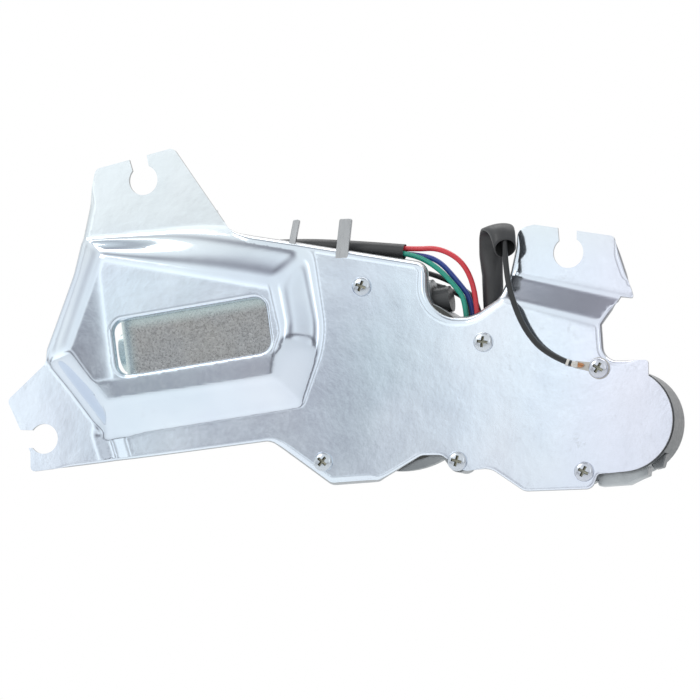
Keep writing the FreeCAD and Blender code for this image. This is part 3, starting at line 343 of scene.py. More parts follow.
# Face whose corners (x, z, radius) are rounded and whose long sides are divided.
def roundedShape(bm, corners, arcSteps, longest):
    verts = [bm.verts.new((c[0], 0, c[1])) for c in corners]
    bm.faces.new(verts)
    for index, vert in enumerate(verts):
        radius = corners[index][2] if len(corners[index]) > 2 else 0
        if radius:
            here = Vector(corners[index][:2])
            before = Vector(corners[index - 1][:2]) - here
            after = Vector(corners[(index + 1) % len(corners)][:2]) - here
            reach = radius / math.tan(before.angle(after) / 2)
            bmesh.ops.bevel(
                bm, geom=[vert], offset=reach, affect="VERTICES", segments=arcSteps, profile=0.5, material=-1)
    while True:
        longSides = [e for e in bm.edges if e.calc_length() > longest]
        if not longSides:
            break
        bmesh.ops.subdivide_edges(bm, edges=longSides, cuts=1)
    return [(loop.vert.co.x, loop.vert.co.z) for loop in bm.faces[:][0].loops]


def loopOf(corners, arcSteps, longest):
    bm = bmesh.new()
    points = roundedShape(bm, corners, arcSteps, longest)
    bm.free()
    return np.array(points)


# Block with rounded corners that fills the depth from front to back.
def slab(corners, front, back):
    bm = bmesh.new()
    roundedShape(bm, corners, 4, 30)
    bmesh.ops.translate(bm, verts=bm.verts, vec=(0, front, 0))
    grown = bmesh.ops.extrude_face_region(bm, geom=bm.faces[:])["geom"]
    bmesh.ops.translate(bm, verts=vertsOf(grown), vec=(0, back - front, 0))
    bmesh.ops.recalc_face_normals(bm, faces=bm.faces)
    return bm


def ringPoints(x, z, radius, count=40):
    turn = np.linspace(0, 2 * math.pi, count, endpoint=False)
    return np.column_stack((x + radius * np.cos(turn), z + radius * np.sin(turn)))


# The points turned about the origin and then moved to x, z.
def turnedTo(points, turn, x, z):
    spin = np.array([[math.cos(turn), -math.sin(turn)], [math.sin(turn), math.cos(turn)]])
    return points @ spin.T + np.array([x, z])


# Which of the points lie inside the closed loop.
def inside(points, loop):
    x, z = points[:, 0], points[:, 1]
    hit = np.zeros(len(points), bool)
    for (x0, z0), (x1, z1) in zip(loop, np.roll(loop, -1, axis=0)):
        crosses = (z0 > z) != (z1 > z)
        with np.errstate(divide="ignore", invalid="ignore"):
            hit ^= crosses & (x < (x1 - x0) * (z - z0) / (z1 - z0) + x0)
    return hit


def outwardNormals(loop):
    before, after = loop - np.roll(loop, 1, axis=0), np.roll(loop, -1, axis=0) - loop
    before /= np.linalg.norm(before, axis=1)[:, None]
    after /= np.linalg.norm(after, axis=1)[:, None]
    along = before + after
    normals = np.column_stack((along[:, 1], -along[:, 0]))
    normals /= np.linalg.norm(normals, axis=1)[:, None]
    area = np.sum(loop[:, 0] * np.roll(loop[:, 1], -1) - np.roll(loop[:, 0], -1) * loop[:, 1])
    return normals if area > 0 else -normals


# Triangles between closed loops and loose points: flat points, faces and the faces' centres.
def triangulate(loops, loose=(), kind=0, near=1e-5):
    edges, first = [], 0
    for loop in loops:
        edges += [(first + i, first + (i + 1) % len(loop)) for i in range(len(loop))]
        first += len(loop)
    points = [Vector(p) for p in np.vstack([*loops, *loose])]
    flat, _, faces, _, _, _ = delaunay_2d_cdt(points, edges, [], kind, near)
    flat = np.array([tuple(v) for v in flat])
    return flat, faces, np.array([flat[list(f)].mean(0) for f in faces])


# Search tree that finds the nearest of the points.
def treeOf(points):
    tree = KDTree(len(points))
    for i, p in enumerate(points):
        tree.insert((p[0], p[1], 0), i)
    tree.balance()
    return tree


bracket = {
    "sheet": 1.6,
    "foldLow": [(-52.3, 52.6), (-8.5, 40.5)],
    "foldHigh": [(-47.5, 63.5), (-1.5, 53.0)],
    "foldBlend": (0.9, 1.2),
    "earFrom": -56.0,
    "earBack": 8.0,
    "domeHeight": 12.0,
    "domeTop": [
        (-230, 77.5), (-184.5, 70.8), (-148, 63.5), (-142.5, 39), (-150, 20), (-225, 11.5), (-244.5, 34.5)],
    "domeFoot": [(-239.5, 83), (-176, 85), (-138, 75.5), (-132, 39), (-141, 9.5), (-228, -2.5), (-255.5, 32)],
    "topBlend": ([16, 34], [1.5, 4.8]),  # heights, and how soft the bend is there
    "footBlend": ([0, 28], [0.9, 3.4]),
    "leftBlend": ([-222, -205], [2.6, 0]),
    "fallLeft": (37.0, 0.13, 3.0),  # distance from the window's middle, slope, softness
    "fallLow": (12.0, 0.105, 1.0),
    "bend": 3.2,  # width and depth of the rolled edge
    "flange": 4.0,
    "windowBend": 1.6,
    "windowLip": 3.4,
    "screws": [(-113.2, 59.5), (-59.5, 34.2), (-9.3, 21.9), (-130.4, -15.6), (-71.0, -16.3), (-16.0, -21.6)],
    "earthScrew": 2,
    "screwHole": 2.3,
    "keys": [(-212.8, 109.3, 104), (-258.4, -3.5, 180), (-24.2, 72.3, 92)],
    "keyRadius": 6.6,
    "keyNeck": 3.9,
    "keyMouth": [(12, 4.2), (19, 13)],
    "tabSide": 11.7,
    "endRadius": 21.8,
    "endStop": -85.0,
    "grid": 1.3,  # spacing of the points where the sheet is curved
    "gridRow": 0.866,
    "coarse": 23,
    "edgeRows": (0.9, 2.4),
    "windowRows": (2.4, 3.8),
    "clear": 0.55,
}


# The bracket's right end, round about the spindle, from the tab's corner down to the lower edge.
def roundEnd():
    radius = bracket["endRadius"]
    start = math.degrees(math.acos(bracket["tabSide"] / radius))
    turns = [math.radians(angle) for angle in np.linspace(start, bracket["endStop"], 32)]
    return [(radius * math.cos(turn), radius * math.sin(turn)) for turn in turns]


bracket["outline"] = [
    (-235, 115, 3), (-199, 123, 3), (-172.5, 85.2, 9), (-121, 76, 30), (-84.6, 69.3, 6), (-84.2, 45.8, 13.5),
    (-65, 45.8, 11), (-53.3, 53.2, 4), (-50.4, 63.8, 4), (-46.0, 83.3, 5), (-39, 84.8), (-4.5, 78.8, 2),
    (4.2, 52.0, 1), bracket["foldHigh"][1], bracket["foldLow"][1], (-7.5, 25.3, 6),
    (bracket["tabSide"], 25.0, 1.5), *roundEnd(), (-10.2, -22.7, 1.5), (-12.5, -29.0, 4), (-42, -29.6, 5),
    (-57, -19.5, 8), (-68, -20.6, 4), (-78, -13.7, 4), (-87, -13.7, 5), (-106, -24.4, 4.5),
    (-127.5, -25.6, 4.5), (-154.5, -6.2, 6), (-200, -11.2, 60), (-264.4, -17.9, 2), (-264.6, -9.3),
    (-275.6, 13.7, 2.5), (-257.6, 29.8, 3), (-258.2, 36, 5), (-245, 68.5, 20)]

# Short stiffening crease beside the lower left ear, whose middle leans to the right as it runs down.
crease = {"x": -228.0, "lean": 4.0, "leanFrom": -2.5, "leanOver": 12.5, "half": 8.0, "top": 4.0, "fade": 6.0,
          "height": 1.0}


def softMax(a, b, reach):
    gap = np.clip(reach - np.abs(a - b), 0, None) / reach
    return np.maximum(a, b) + gap * gap * reach / 4


def softMin(a, b, reach):
    return -softMax(-a, -b, reach)


# Distance to the left of the line from start to end.
def sideOf(points, start, end):
    run = np.subtract(end, start)
    run = run / np.linalg.norm(run)
    away = points - np.array(start)
    return run[0] * away[:, 1] - run[1] * away[:, 0]


# How far the dome's top has fallen, where its fall begins softly at start.
def topFall(away, start, slope, soft):
    beyond = np.clip(away - start, 0, None)
    return slope * beyond * beyond / (beyond + soft)


# How far the dome stands proud of the flat sheet.
def domeRise(points):
    away = points - np.array([windowShape["x"], windowShape["z"]])
    left = -away[:, 0] * math.cos(motorTilt) - away[:, 1] * math.sin(motorTilt)
    below = away[:, 0] * math.sin(motorTilt) - away[:, 1] * math.cos(motorTilt)
    rise = bracket["domeHeight"] - topFall(left, *bracket["fallLeft"]) - topFall(below, *bracket["fallLow"])
    foot, top = bracket["domeFoot"], bracket["domeTop"]
    reach = np.interp(points[:, 1], *bracket["topBlend"])
    for i in range(len(foot)):
        j = (i + 1) % len(foot)
        low = -sideOf(points, foot[i], foot[j])
        high = -sideOf(points, top[i], top[j])
        slope = low / np.clip(low - high, 1.0, None) * bracket["domeHeight"]
        rise = softMin(rise, slope, reach)
    reach = np.interp(points[:, 1], *bracket["footBlend"])
    reach = np.maximum(reach, np.interp(points[:, 0], *bracket["leftBlend"]))
    return softMax(rise, np.zeros(len(points)), reach)


# How far the right ear lies behind the flat sheet.
def earDrop(points):
    low = sideOf(points, *bracket["foldLow"])
    high = sideOf(points, *bracket["foldHigh"])
    backBlend, frontBlend = bracket["foldBlend"]
    ramp = low / np.clip(low - high, 1.0, None) * bracket["earBack"]
    ramp = softMin(ramp, np.full(len(points), bracket["earBack"]), backBlend)
    return np.where(points[:, 0] > bracket["earFrom"], softMax(ramp, np.zeros(len(points)), frontBlend), 0)


def creaseRise(points):
    x, z = points[:, 0], points[:, 1]
    along = np.clip((crease["leanFrom"] - z) / crease["leanOver"], 0, 1)
    away = np.clip(np.abs(x - (crease["x"] + crease["lean"] * along)) / crease["half"], 0, 1)
    fade = np.clip((crease["top"] - z) / crease["fade"], 0, 1)
    return crease["height"] * (1 - away * away * (3 - 2 * away)) * fade


def sheetDepth(points):
    return -bracket["sheet"] - domeRise(points) - creaseRise(points) + earDrop(points)


def ease(value, start, end):
    part = min(1.0, max(0.0, (value - start) / (end - start)))
    return part * part * (3 - 2 * part)


# How far the sheet's edge is rolled back: 0 where it is cut plain, 1 and more where it is rolled.
# The numbers are the places along x or z where each side's roll begins and ends.
def rolledShare(x, z):
    if x < -236 and z > 0:
        return ease(z, 29, 38) * ease(z, 109, 98)
    if x < -236:
        return 0.35 * ease(x, -253, -246)
    if z < 0:
        left = 0.35 * ease(x, -72, -82) + 0.65 * ease(x, -158, -148) * ease(x, -101, -111)
        return left + 0.3 * ease(x, -66, -56) * ease(x, -6, -14)
    if x > -14 and z > 23:
        return 0.6 * ease(x, 8, 1) * ease(z, 77, 70) * ease(math.hypot(x - 3, z - 52.5), 6, 10)
    if not (-180 < x < -40 and z > 44):
        return 0.0
    if x < -90:
        return ease(x, -176, -162)
    if x < -56:
        return 1 + 0.3 * ease(z, 70, 56)
    return ease(z, 84, 74) * (1 + 0.3 * ease(z, 62, 50))


# Keyhole: most of a circle, and a neck that widens towards the bracket's edge.
def keyLoop(x, z, degrees):
    neck, radius = bracket["keyNeck"], bracket["keyRadius"]
    reach = math.sqrt(radius * radius - neck * neck)
    side = [(reach, neck)] + bracket["keyMouth"]
    flare = [(far, -half) for far, half in side] + side[:0:-1]
    start = math.atan2(neck, reach)
    arc = [(radius * math.cos(a), radius * math.sin(a)) for a in np.linspace(start, 2 * math.pi - start, 36)]
    return turnedTo(np.array(flare + arc[:-1]), math.radians(degrees), x, z)


def windowLoop(grow):
    w, h = windowShape["width"] / 2 + grow, windowShape["height"] / 2 + grow
    r = windowShape["corner"] + grow
    points = loopOf([(-w, -h, r), (w, -h, r), (w, h, r), (-w, h, r)], 8, 2.4)
    return turnedTo(points, motorTilt, windowShape["x"], windowShape["z"])


# Extrudes a rim once and moves each new vertex to the place given for its old one.
def extrudeRim(bm, edges, places):
    grown = bmesh.ops.extrude_edge_only(bm, edges=edges)["geom"]
    fresh = set(vertsOf(grown))
    follow = {}
    for old, place in places.items():
        follow[old] = next(e.other_vert(old) for e in old.link_edges if e.other_vert(old) in fresh)
        follow[old].co = place
    return follow, [e for e in edgesOf(grown) if all(v in fresh for v in e.verts)]


# Rolls a rim back round a quarter of an oval. Past the step named dark, its faces have the second finish:
# darker zinc, painted shade where the roll turns away.
def rollRim(bm, outward, share, across, depth, steps, dark):
    edges = [e for e in bm.edges if e.is_boundary and all(v in share for v in e.verts)]
    edges = [e for e in edges if any(share[v] > 0 for v in e.verts)]
    current = sorted({v for e in edges for v in e.verts}, key=lambda v: v.index)
    base = {v: (v.co.copy(), outward[v], share[v]) for v in current}
    for step in range(1, steps + 1):
        angle = step / steps * math.pi / 2
        places = {}
        for old in current:
            start, way, part = base[old]
            out = way * across * part * math.sin(angle)
            back = min(part, 1.0) * depth * (1 - math.cos(angle))
            places[old] = start + Vector((out.x, back, out.z))
        follow, edges = extrudeRim(bm, edges, places)
        if step > dark:
            for face in {f for e in edges for f in e.link_faces}:
                face.material_index = 1
        for old, new in follow.items():
            base[new] = base[old]
        current = list(follow.values())


# Grid points over the sheet: all of them where it is curved, and a few where it is flat.
def sheetSpots(loop, flat):
    low, high, step = loop.min(0), loop.max(0), bracket["grid"]
    xs = np.arange(low[0], high[0], step)
    zs = np.arange(low[1], high[1], step * bracket["gridRow"])
    spots = np.array([(x + (row % 2) * step / 2, z) for row, z in enumerate(zs) for x in xs])
    spots = spots[inside(spots, flat)]
    curved = np.zeros(len(spots), bool)
    shifts = [(r * step * a, r * step * b) for r in (1, 2.3) for a, b in ((1, 1), (-1, 1), (1, -1), (-1, -1))]
    for shift in [(0, 0)] + shifts:
        rise, drop = domeRise(spots + shift), earDrop(spots + shift)
        curved |= (rise > 1e-5) & (rise < bracket["domeHeight"] - 1e-5)
        curved |= (drop > 1e-5) & (drop < bracket["earBack"] - 1e-5)
    overCrease = np.abs(spots[:, 0] - (crease["x"] + crease["lean"] / 2)) < crease["half"] + crease["lean"]
    curved |= overCrease & (spots[:, 1] < crease["top"] + 1)
    few = (np.arange(len(spots)) % bracket["coarse"]) == 0
    return spots[curved | few]


# Border vertices on the loop, each with its way out and its share of the roll.
def rimOf(bm, loop, normals, shares):
    tree = treeOf(loop)
    outward, share = {}, {}
    for vert in [v for v in bm.verts if v.is_boundary]:
        _, index, distance = tree.find((vert.co.x, vert.co.z, 0))
        if distance < 0.01:
            outward[vert] = Vector((normals[index][0], 0, normals[index][1]))
            share[vert] = shares[index]
    return outward, share


# The bracket's front surface: outline, holes, dome and stepped ear, with its edges rolled.
def pressedSheet():
    loop = loopOf(bracket["outline"], 10, 2.4)
    normals = outwardNormals(loop)
    shares = np.array([rolledShare(*p) for p in loop])
    rolled = shares > 0
    flat = loop - normals * (bracket["bend"] * shares)[:, None]
    window = windowLoop(bracket["windowBend"])
    cuts = [ringPoints(x, z, bracket["screwHole"]) for x, z in bracket["screws"]]
    cuts += [keyLoop(*key) for key in bracket["keys"]] + [window]
    rows = [flat[rolled] - normals[rolled] * gap for gap in bracket["edgeRows"]]
    rows = np.vstack(rows + [windowLoop(grow) for grow in bracket["windowRows"]])
    rows = rows[inside(rows, flat)]
    spots = sheetSpots(loop, flat)
    for cut in cuts:
        rows = rows[~inside(rows, cut)]
        spots = spots[~inside(spots, cut)]
    near = treeOf(np.vstack([flat] + cuts + [rows]))
    spots = spots[np.array([near.find((p[0], p[1], 0))[2] > bracket["clear"] for p in spots])]
    points, faces, centres = triangulate([flat] + cuts, [rows, spots], 0, 1e-4)
    keep = inside(centres, flat)
    for cut in cuts:
        keep &= ~inside(centres, cut)
    bm = bmesh.new()
    made = [bm.verts.new((p[0], y, p[1])) for p, y in zip(points, sheetDepth(points))]
    for face, wanted in zip(faces, keep):
        if wanted:
            bm.faces.new([made[i] for i in face])
    bmesh.ops.delete(bm, geom=[v for v in bm.verts if not v.link_faces], context="VERTS")
    faceViewer(bm)
    bm.verts.index_update()
    windowRim = rimOf(bm, window, -outwardNormals(window), np.ones(len(window)))
    edgeRim = rimOf(bm, flat, normals, shares)
    rollRim(bm, *windowRim, bracket["windowBend"], bracket["windowLip"], 5, 5)
    rollRim(bm, *edgeRim, bracket["bend"], bracket["flange"], 8, 4)
    bmesh.ops.remove_doubles(bm, verts=bm.verts, dist=0.001)
    return toMetres(bm)


print("bracket")
bracketPiece = addPiece(
    "pressedBracket", pressedSheet(), "zinc_plated_steel", ["zinc_plated_steel", "cutEdgeAndRollShade"],
    ["mounting_plate"], 50)
sheetWall(bracketPiece, bracket["sheet"]).material_offset_rim = 1
bracketEdge = softEdges(bracketPiece, 0.00022)
bracketEdge.angle_limit = math.radians(50)
bracketEdge.harden_normals = True

# Left, right, lean, low and high of each finger, and its gap to the flat sheet's rear face.
fingers = [(-147.3, -144.2, 3.2, 74.0, 89.6), (-125.3, -119.6, 2.0, 72.0, 89.2)]
fingerGap = 0.05


# A thin tongue of the sheet that stands up in front of the harness sleeve.
def sleeveFinger(left, right, lean, low, high):
    corners = [(left, low), (right, low), (right + lean, high, 1), (left + lean, high, 1)]
    return toMetres(slab(corners, -bracket["sheet"] - fingerGap, -fingerGap))


print("fingers")
for number, finger in enumerate(fingers):
    name = "sleeveFinger%d" % (number + 1)
    softEdges(addPiece(name, sleeveFinger(*finger), "zinc_plated_steel", ["brushedZinc"]), 0.0003)


# Curve of the second degree along the points, from the first to the last.
def smoothCurve(name, points, resolution):
    curve = bpy.data.curves.new(name, "CURVE")
    curve.dimensions = "3D"
    curve.resolution_u = resolution
    line = curve.splines.new("NURBS")
    line.points.add(len(points) - 1)
    for spot, place in zip(line.points, points):
        spot.co = (*at(*place), 1)
    line.order_u = 3
    line.use_endpoint_u = True
    return curve


def cordCurve(name, points, radius, slot, caps=True):
    curve = smoothCurve(name, points, 10)
    curve.bevel_depth = radius / 1000
    curve.bevel_resolution = 6
    curve.use_fill_caps = caps
    return addPiece(name, curve, slot)


# Length of the quadratic curve that the control points make, in metres.
def curveLength(points):
    spots = [at(*p) for p in points]
    middles = [spots[0]] + [(a + b) / 2 for a, b in zip(spots[1:-1], spots[2:-1])] + [spots[-1]]
    total, last = 0.0, spots[0]
    for start, bend, end in zip(middles, spots[1:-1], middles[1:]):
        for i in range(1, 33):
            t = i / 32
            here = start * (1 - t) ** 2 + bend * 2 * t * (1 - t) + end * t * t
            total += (here - last).length
            last = here
    return total


# The cross is grown by floor, sunk and around for its floor, its dip and the free border round it.
screwShape = {
    "radius": 4.2, "height": 2.4, "side": 0.36, "roundness": 2.6,
    "rings": (1.0, 0.985, 0.95, 0.88, 0.78), "spots": (2.9, 2.4, 1.7, 1.1),
    "shank": 2.0, "length": 11.0, "chamfer": 0.6,
    "arm": 2.35, "halfArm": 0.62, "floor": -0.22, "sunk": -0.1, "around": 0.2,
    "deep": (0.675, 1.35), "taper": 4.5,
    "turns": [22, 8, 31, 40, 15, 27]}

# The rods of the terminal have their reach along the lead and their radius.
ringTerminal = {
    "radius": 4.6, "hole": 2.3, "neck": 1.5, "neckRoot": 1.9, "neckGap": 1.5, "front": 0.8, "thick": 0.78,
    "collar": ((-2.3, -1.1), 1.52), "barrel": ((0.2, 2.9), 1.15), "lobe": ((0.4, 2.7), 0.8),
    "lobeOut": 0.55, "lobeUp": -0.5,
    "strandFrom": -0.2, "strandTo": 4.6, "strandStep": 0.35, "strandRadius": 0.33, "strandOut": 0.68}


# Dome of the head: full height in the middle, falling to a short straight side.
def headHeight(radius):
    share = np.clip(radius / screwShape["radius"], 0, 1)
    side, dome = screwShape["side"], np.sqrt(np.clip(1 - share ** screwShape["roundness"], 0, 1))
    return screwShape["height"] * (side + (1 - side) * dome)


def crossLoop(grow):
    arm, half = screwShape["arm"] + grow, screwShape["halfArm"] + grow
    corners = []
    for quarter in range(4):
        c, d = round(math.cos(quarter * math.pi / 2)), round(math.sin(quarter * math.pi / 2))
        for x, z in ((arm, -half), (arm, half), (half, half)):
            corners.append((c * x - d * z, d * x + c * z))
    return loopOf(corners, 3, 0.7)


# One pan head screw with a cross recess, its seat at y 0 and its shank pointing away from the viewer.
def panHead():
    rings = [ringPoints(0, 0, screwShape["radius"] * share, 48) for share in screwShape["rings"]]
    cross, floor = crossLoop(0.0), crossLoop(screwShape["floor"])
    spots = np.vstack([ringPoints(0, 0, radius, 24) for radius in screwShape["spots"]])
    spots = spots[~inside(spots, crossLoop(screwShape["around"]))]
    flat, faces, centres = triangulate(rings + [cross, floor], [spots, [[0, 0]]])
    away = np.hypot(flat[:, 0], flat[:, 1])
    sunk = inside(flat * 0.999, crossLoop(screwShape["sunk"]))
    atArms, inMiddle = screwShape["deep"]
    deep = atArms + inMiddle * np.clip(1 - away / screwShape["taper"], 0, 1)
    height = headHeight(away) - np.where(sunk, deep, 0)
    bm = bmesh.new()
    made = [bm.verts.new((p[0], -h, p[1])) for p, h in zip(flat, height)]
    for face, dark in zip(faces, inside(centres, cross)):
        bm.faces.new([made[i] for i in face]).material_index = int(dark)
    faceViewer(bm)
    rim = [e for e in bm.edges if e.is_boundary]
    shank, length, chamfer = screwShape["shank"], screwShape["length"], screwShape["chamfer"]
    seat = screwShape["radius"]
    for radius, y in ((seat, 0.0), (shank, 0.0), (shank, length - chamfer), (shank - chamfer, length)):
        grown = bmesh.ops.extrude_edge_only(bm, edges=rim)["geom"]
        for vert in vertsOf(grown):
            around = Vector((vert.co.x, 0, vert.co.z)).normalized() * radius
            vert.co = Vector((around.x, y, around.z))
        rim = [e for e in edgesOf(grown) if e.is_boundary]
    bmesh.ops.holes_fill(bm, edges=rim, sides=0)
    return bm


# The six screws. The one that holds the earth lead sits on the ring terminal.
def coverScrews():
    whole = bmesh.new()
    for number, ((x, z), degrees) in enumerate(zip(bracket["screws"], screwShape["turns"])):
        one = panHead()
        seat = bracket["sheet"] + (ringTerminal["front"] if number == bracket["earthScrew"] else 0)
        spin = Matrix.Rotation(math.radians(degrees), 3, "Y")
        bmesh.ops.rotate(one, verts=one.verts, cent=(0, 0, 0), matrix=spin)
        bmesh.ops.translate(one, verts=one.verts, vec=(x, -seat, z))
        joinInto(whole, one)
    bmesh.ops.recalc_face_normals(whole, faces=whole.faces)
    return toMetres(whole)


print("screws")
addPiece(
    "panHeadScrews", coverScrews(), "zinc_plated_steel", ["screwZinc", "screwRecess"], ["cover_screws"], 35)

# Corners, front and back of each lug below the bracket's right end.
castLugs = [
    ([(-12, -20), (-10.9, -27.6, 1), (1.8, -26.9, 1), (6.9, -24.5, 0.8), (10.2, -23.2, 0.6), (10.8, -18)],
     3.0, 12.0),
    ([(10.2, -17), (12.6, -20.6, 1), (16.2, -19.8, 1), (18.0, -14)], 5.0, 12.0)]


def housingLugs():
    whole = bmesh.new()
    for lug in castLugs:
        joinInto(whole, slab(*lug))
    return toMetres(whole)


print("lugs")
softEdges(addPiece("housingLugs", housingLugs(), "die_cast_alloy", ["lugAlloy"]), 0.0005)

# The motor's axis passes above the worm wheel's middle at the centre distance.
wheelPlace = (-96.5, 19.0)
centreDistance = 32.5
motorDepth = 11.0
leadsFrom, leadsTo = -48.5, -33.5
entry = {"x": -66.0, "inner": 36.0, "outer": 45.6, "above": 6.5}
# Depth and sideways shift of each wire where it goes into the housing, then its place across the sleeve.
ports = {
    "red": (5.4, 2.4), "blue": (8.8, 0.0), "green": (5.4, -2.4),
    "blackA": (12.2, 2.4), "blackB": (12.2, -2.4)}
bundle = {"red": (1.36, 0), "blue": (-0.68, 1.18), "green": (-0.68, -1.18)}
cordRadius = {"wire": 1.15, "earth": 1.25, "sleeve": 3.3, "tube": 4.2}
sleeveLine = [(-170, 9.3, 78.5), (-152, 8.4, 79.4), (-124, 7.8, 78.0), (-96.5, 7.6, 75.0)]
tubeLine = [
    (-58.0, 11.2, 45.6), (-58.0, 11.2, 61.0), (-57.4, 9.6, 83.0), (-49.5, -5.1, 83.2), (-49.0, -5.4, 69.5)]
earthLine = tubeLine[:-1] + [
    (-48.9, -5.5, 68.0), (-46.6, -6.4, 54.0), (-40.5, -6.2, 38.5), (-31.0, -5.2, 27.8), (-21.0, -3.1, 24.0)]
sleeveEnd = Vector(sleeveLine[-1])
sleeveWay = (sleeveEnd - Vector(sleeveLine[-2])).normalized()
sleeveUp = -Vector((0, 1, 0)).cross(sleeveWay)


# A coloured wire's two points on a straight line through the sleeve's end.
def inSleeve(name):
    up, side = bundle[name]
    return [tuple(sleeveEnd - sleeveWay * depth + sleeveUp * up + Vector((0, side, 0))) for depth in (6, -4)]


# Two points on a line beside the motor's axis, at its front end.
def fromMotor(back, up):
    run = Vector((math.cos(motorTilt), 0, math.sin(motorTilt)))
    rise = Vector((-math.sin(motorTilt), 0, math.cos(motorTilt)))
    middle = Vector((wheelPlace[0], motorDepth, wheelPlace[1])) + rise * centreDistance
    return [tuple(middle + rise * up + Vector((0, back, 0)) + run * s) for s in (leadsFrom, leadsTo)]


def intoPort(name):
    y, shift = ports[name]
    return [(entry["x"] + shift, y, entry["outer"] + entry["above"]), (entry["x"] + shift, y, entry["inner"])]


wires = {
    "red_wire": ("wire_red", [
        *inSleeve("red"), (-80, 5.0, 76.0), (-68.5, 5.0, 68.5), *intoPort("red")]),
    "blue_wire": ("wire_blue", [
        *inSleeve("blue"), (-82.0, 7.6, 71.5), (-74.0, 8.8, 62.5), *intoPort("blue")]),
    "green_wire": ("wire_green", [
        *inSleeve("green"), (-81.5, 4.2, 67.8), (-74.0, 5.4, 59.8), *intoPort("green")]),
    "black_wire_upper": ("wire_black", [
        *fromMotor(2.5, 26.6), (-116, 16.0, 71.0), (-100, 16.5, 68.6), (-88, 15.5, 66.6), (-75, 14.0, 61.0),
        *intoPort("blackA")]),
    "black_wire_lower": ("wire_black", [
        *fromMotor(6.0, 25.9), (-116, 20.5, 67.2), (-100, 21.2, 64.4), (-88, 20.5, 62.4), (-75.5, 18.4, 57.5),
        *intoPort("blackB")]),
}

print("cords")
for node, (slot, line) in wires.items():
    lead = cordCurve(node + "Lead", line, cordRadius["wire"], slot)
    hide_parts(node)
    at(*line[0])
    curveLength(line)


# Round rod along a way. Its reach is two distances past the base.
def addRod(bm, base, way, reach, radius, segments, material):
    middle = Matrix.Translation(base + way * (reach[0] + reach[1]) / 2)
    spin = way.to_track_quat("Z", "Y").to_matrix().to_4x4()
    made = bmesh.ops.create_cone(
        bm, cap_ends=True, segments=segments, radius1=radius, radius2=radius, depth=reach[1] - reach[0],
        matrix=middle @ spin)
    for face in {f for v in made["verts"] for f in v.link_faces}:
        face.material_index = material


# Ring with a tapered neck, a rolled crimp round the bared strands, and the strands' ends in front of it.
def earthTerminal():
    x, z = bracket["screws"][bracket["earthScrew"]]
    end, before = Vector(earthLine[-1]), Vector(earthLine[-2])
    lead = (end - before).normalized()
    heading = math.atan2(end.z - z, end.x - x)
    way = Vector((math.cos(heading), 0, math.sin(heading)))
    across = Vector((-way.z, 0, way.x))
    radius, neck = ringTerminal["radius"], ringTerminal["neck"]
    start = math.asin(ringTerminal["neckRoot"] / radius)
    outer = []
    for a in np.linspace(start, 2 * math.pi - start, 40):
        outer.append(way * radius * math.cos(a) + across * radius * math.sin(a))
    neckEnd = way * (math.hypot(end.x - x, end.z - z) - ringTerminal["neckGap"])
    outer += [neckEnd - across * neck, neckEnd + across * neck]
    hole = ringPoints(x, z, ringTerminal["hole"], 32)
    flat, faces, centres = triangulate([np.array([(x + p.x, z + p.z) for p in outer]), hole], kind=1)
    bm = bmesh.new()
    front = -bracket["sheet"] - ringTerminal["front"]
    made = [bm.verts.new((p[0], front, p[1])) for p in flat]
    for face, cut in zip(faces, inside(centres, hole)):
        if not cut:
            bm.faces.new([made[i] for i in face])
    grown = bmesh.ops.extrude_face_region(bm, geom=bm.faces[:])["geom"]
    bmesh.ops.translate(bm, verts=vertsOf(grown), vec=(0, ringTerminal["thick"], 0))
    side = lead.cross(Vector((0, 1, 0))).normalized()
    over = side.cross(lead)
    flow = (way * -1 + Vector((0, 0.06, 0))).normalized()
    addRod(bm, end, lead, *ringTerminal["collar"], 20, 1)
    addRod(bm, end, flow, *ringTerminal["barrel"], 16, 1)
    for lobe in (-ringTerminal["lobeOut"], ringTerminal["lobeOut"]):
        addRod(bm, end + over * ringTerminal["lobeUp"] + side * lobe, flow, *ringTerminal["lobe"], 12, 1)
    for k in range(7):
        a = 2 * math.pi * k / 6
        shift = (side * math.cos(a) + over * math.sin(a)) * (ringTerminal["strandOut"] if k < 6 else 0)
        reach = (ringTerminal["strandFrom"], ringTerminal["strandTo"] + ringTerminal["strandStep"] * (k % 3))
        addRod(bm, end + shift, flow, reach, ringTerminal["strandRadius"], 8, 2)
    bmesh.ops.recalc_face_normals(bm, faces=bm.faces)
    return toMetres(bm)


print("earth lead")
terminal = addPiece(
    "earthTerminal", earthTerminal(), "tinned_copper", ["tinned_copper", "crimp", "strands"],
    ["ring_terminal"], 35)
earthLead = cordCurve("earthLead", earthLine, cordRadius["earth"], "wire_black")
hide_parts("ground_wire")
at(*earthLine[0])
curveLength(earthLine)


# Points along a route's smooth line, read from its spline.
def routePoints(points, resolution):
    curve = smoothCurve("route", points, resolution)
    holder = bpy.data.objects.new("route", curve)
    bpy.context.scene.collection.objects.link(holder)
    mesh = bpy.data.meshes.new_from_object(holder)
    line = [v.co.copy() for v in mesh.vertices]
    bpy.data.objects.remove(holder)
    bpy.data.curves.remove(curve)
    bpy.data.meshes.remove(mesh)
    return line


def routeLength(line):
    return sum((b - a).length for a, b in zip(line, line[1:]))


# The soft tube is round at its foot, pressed flat where it is folded over, and open at its mouth.
foldedShape = {
    "mouthWay": Vector((0.42, -0.74, -0.52)).normalized(), "across": Vector((1, 0.1, 0)),
    "stops": [0.0, 0.32, 0.47, 0.60, 0.70, 0.85, 1.0],
    "wide": [4.2, 4.5, 5.3, 5.7, 6.1, 5.5, 4.8],
    "thick": [4.2, 3.9, 2.6, 1.4, 1.3, 3.0, 4.2],
    "shift": [0, -0.6, -1.3, -1.3, -0.8, -0.2, 0.2],
    "leanFrom": 0.66, "leanOver": 0.3, "wave": 0.05, "sides": 36, "wall": 0.7}


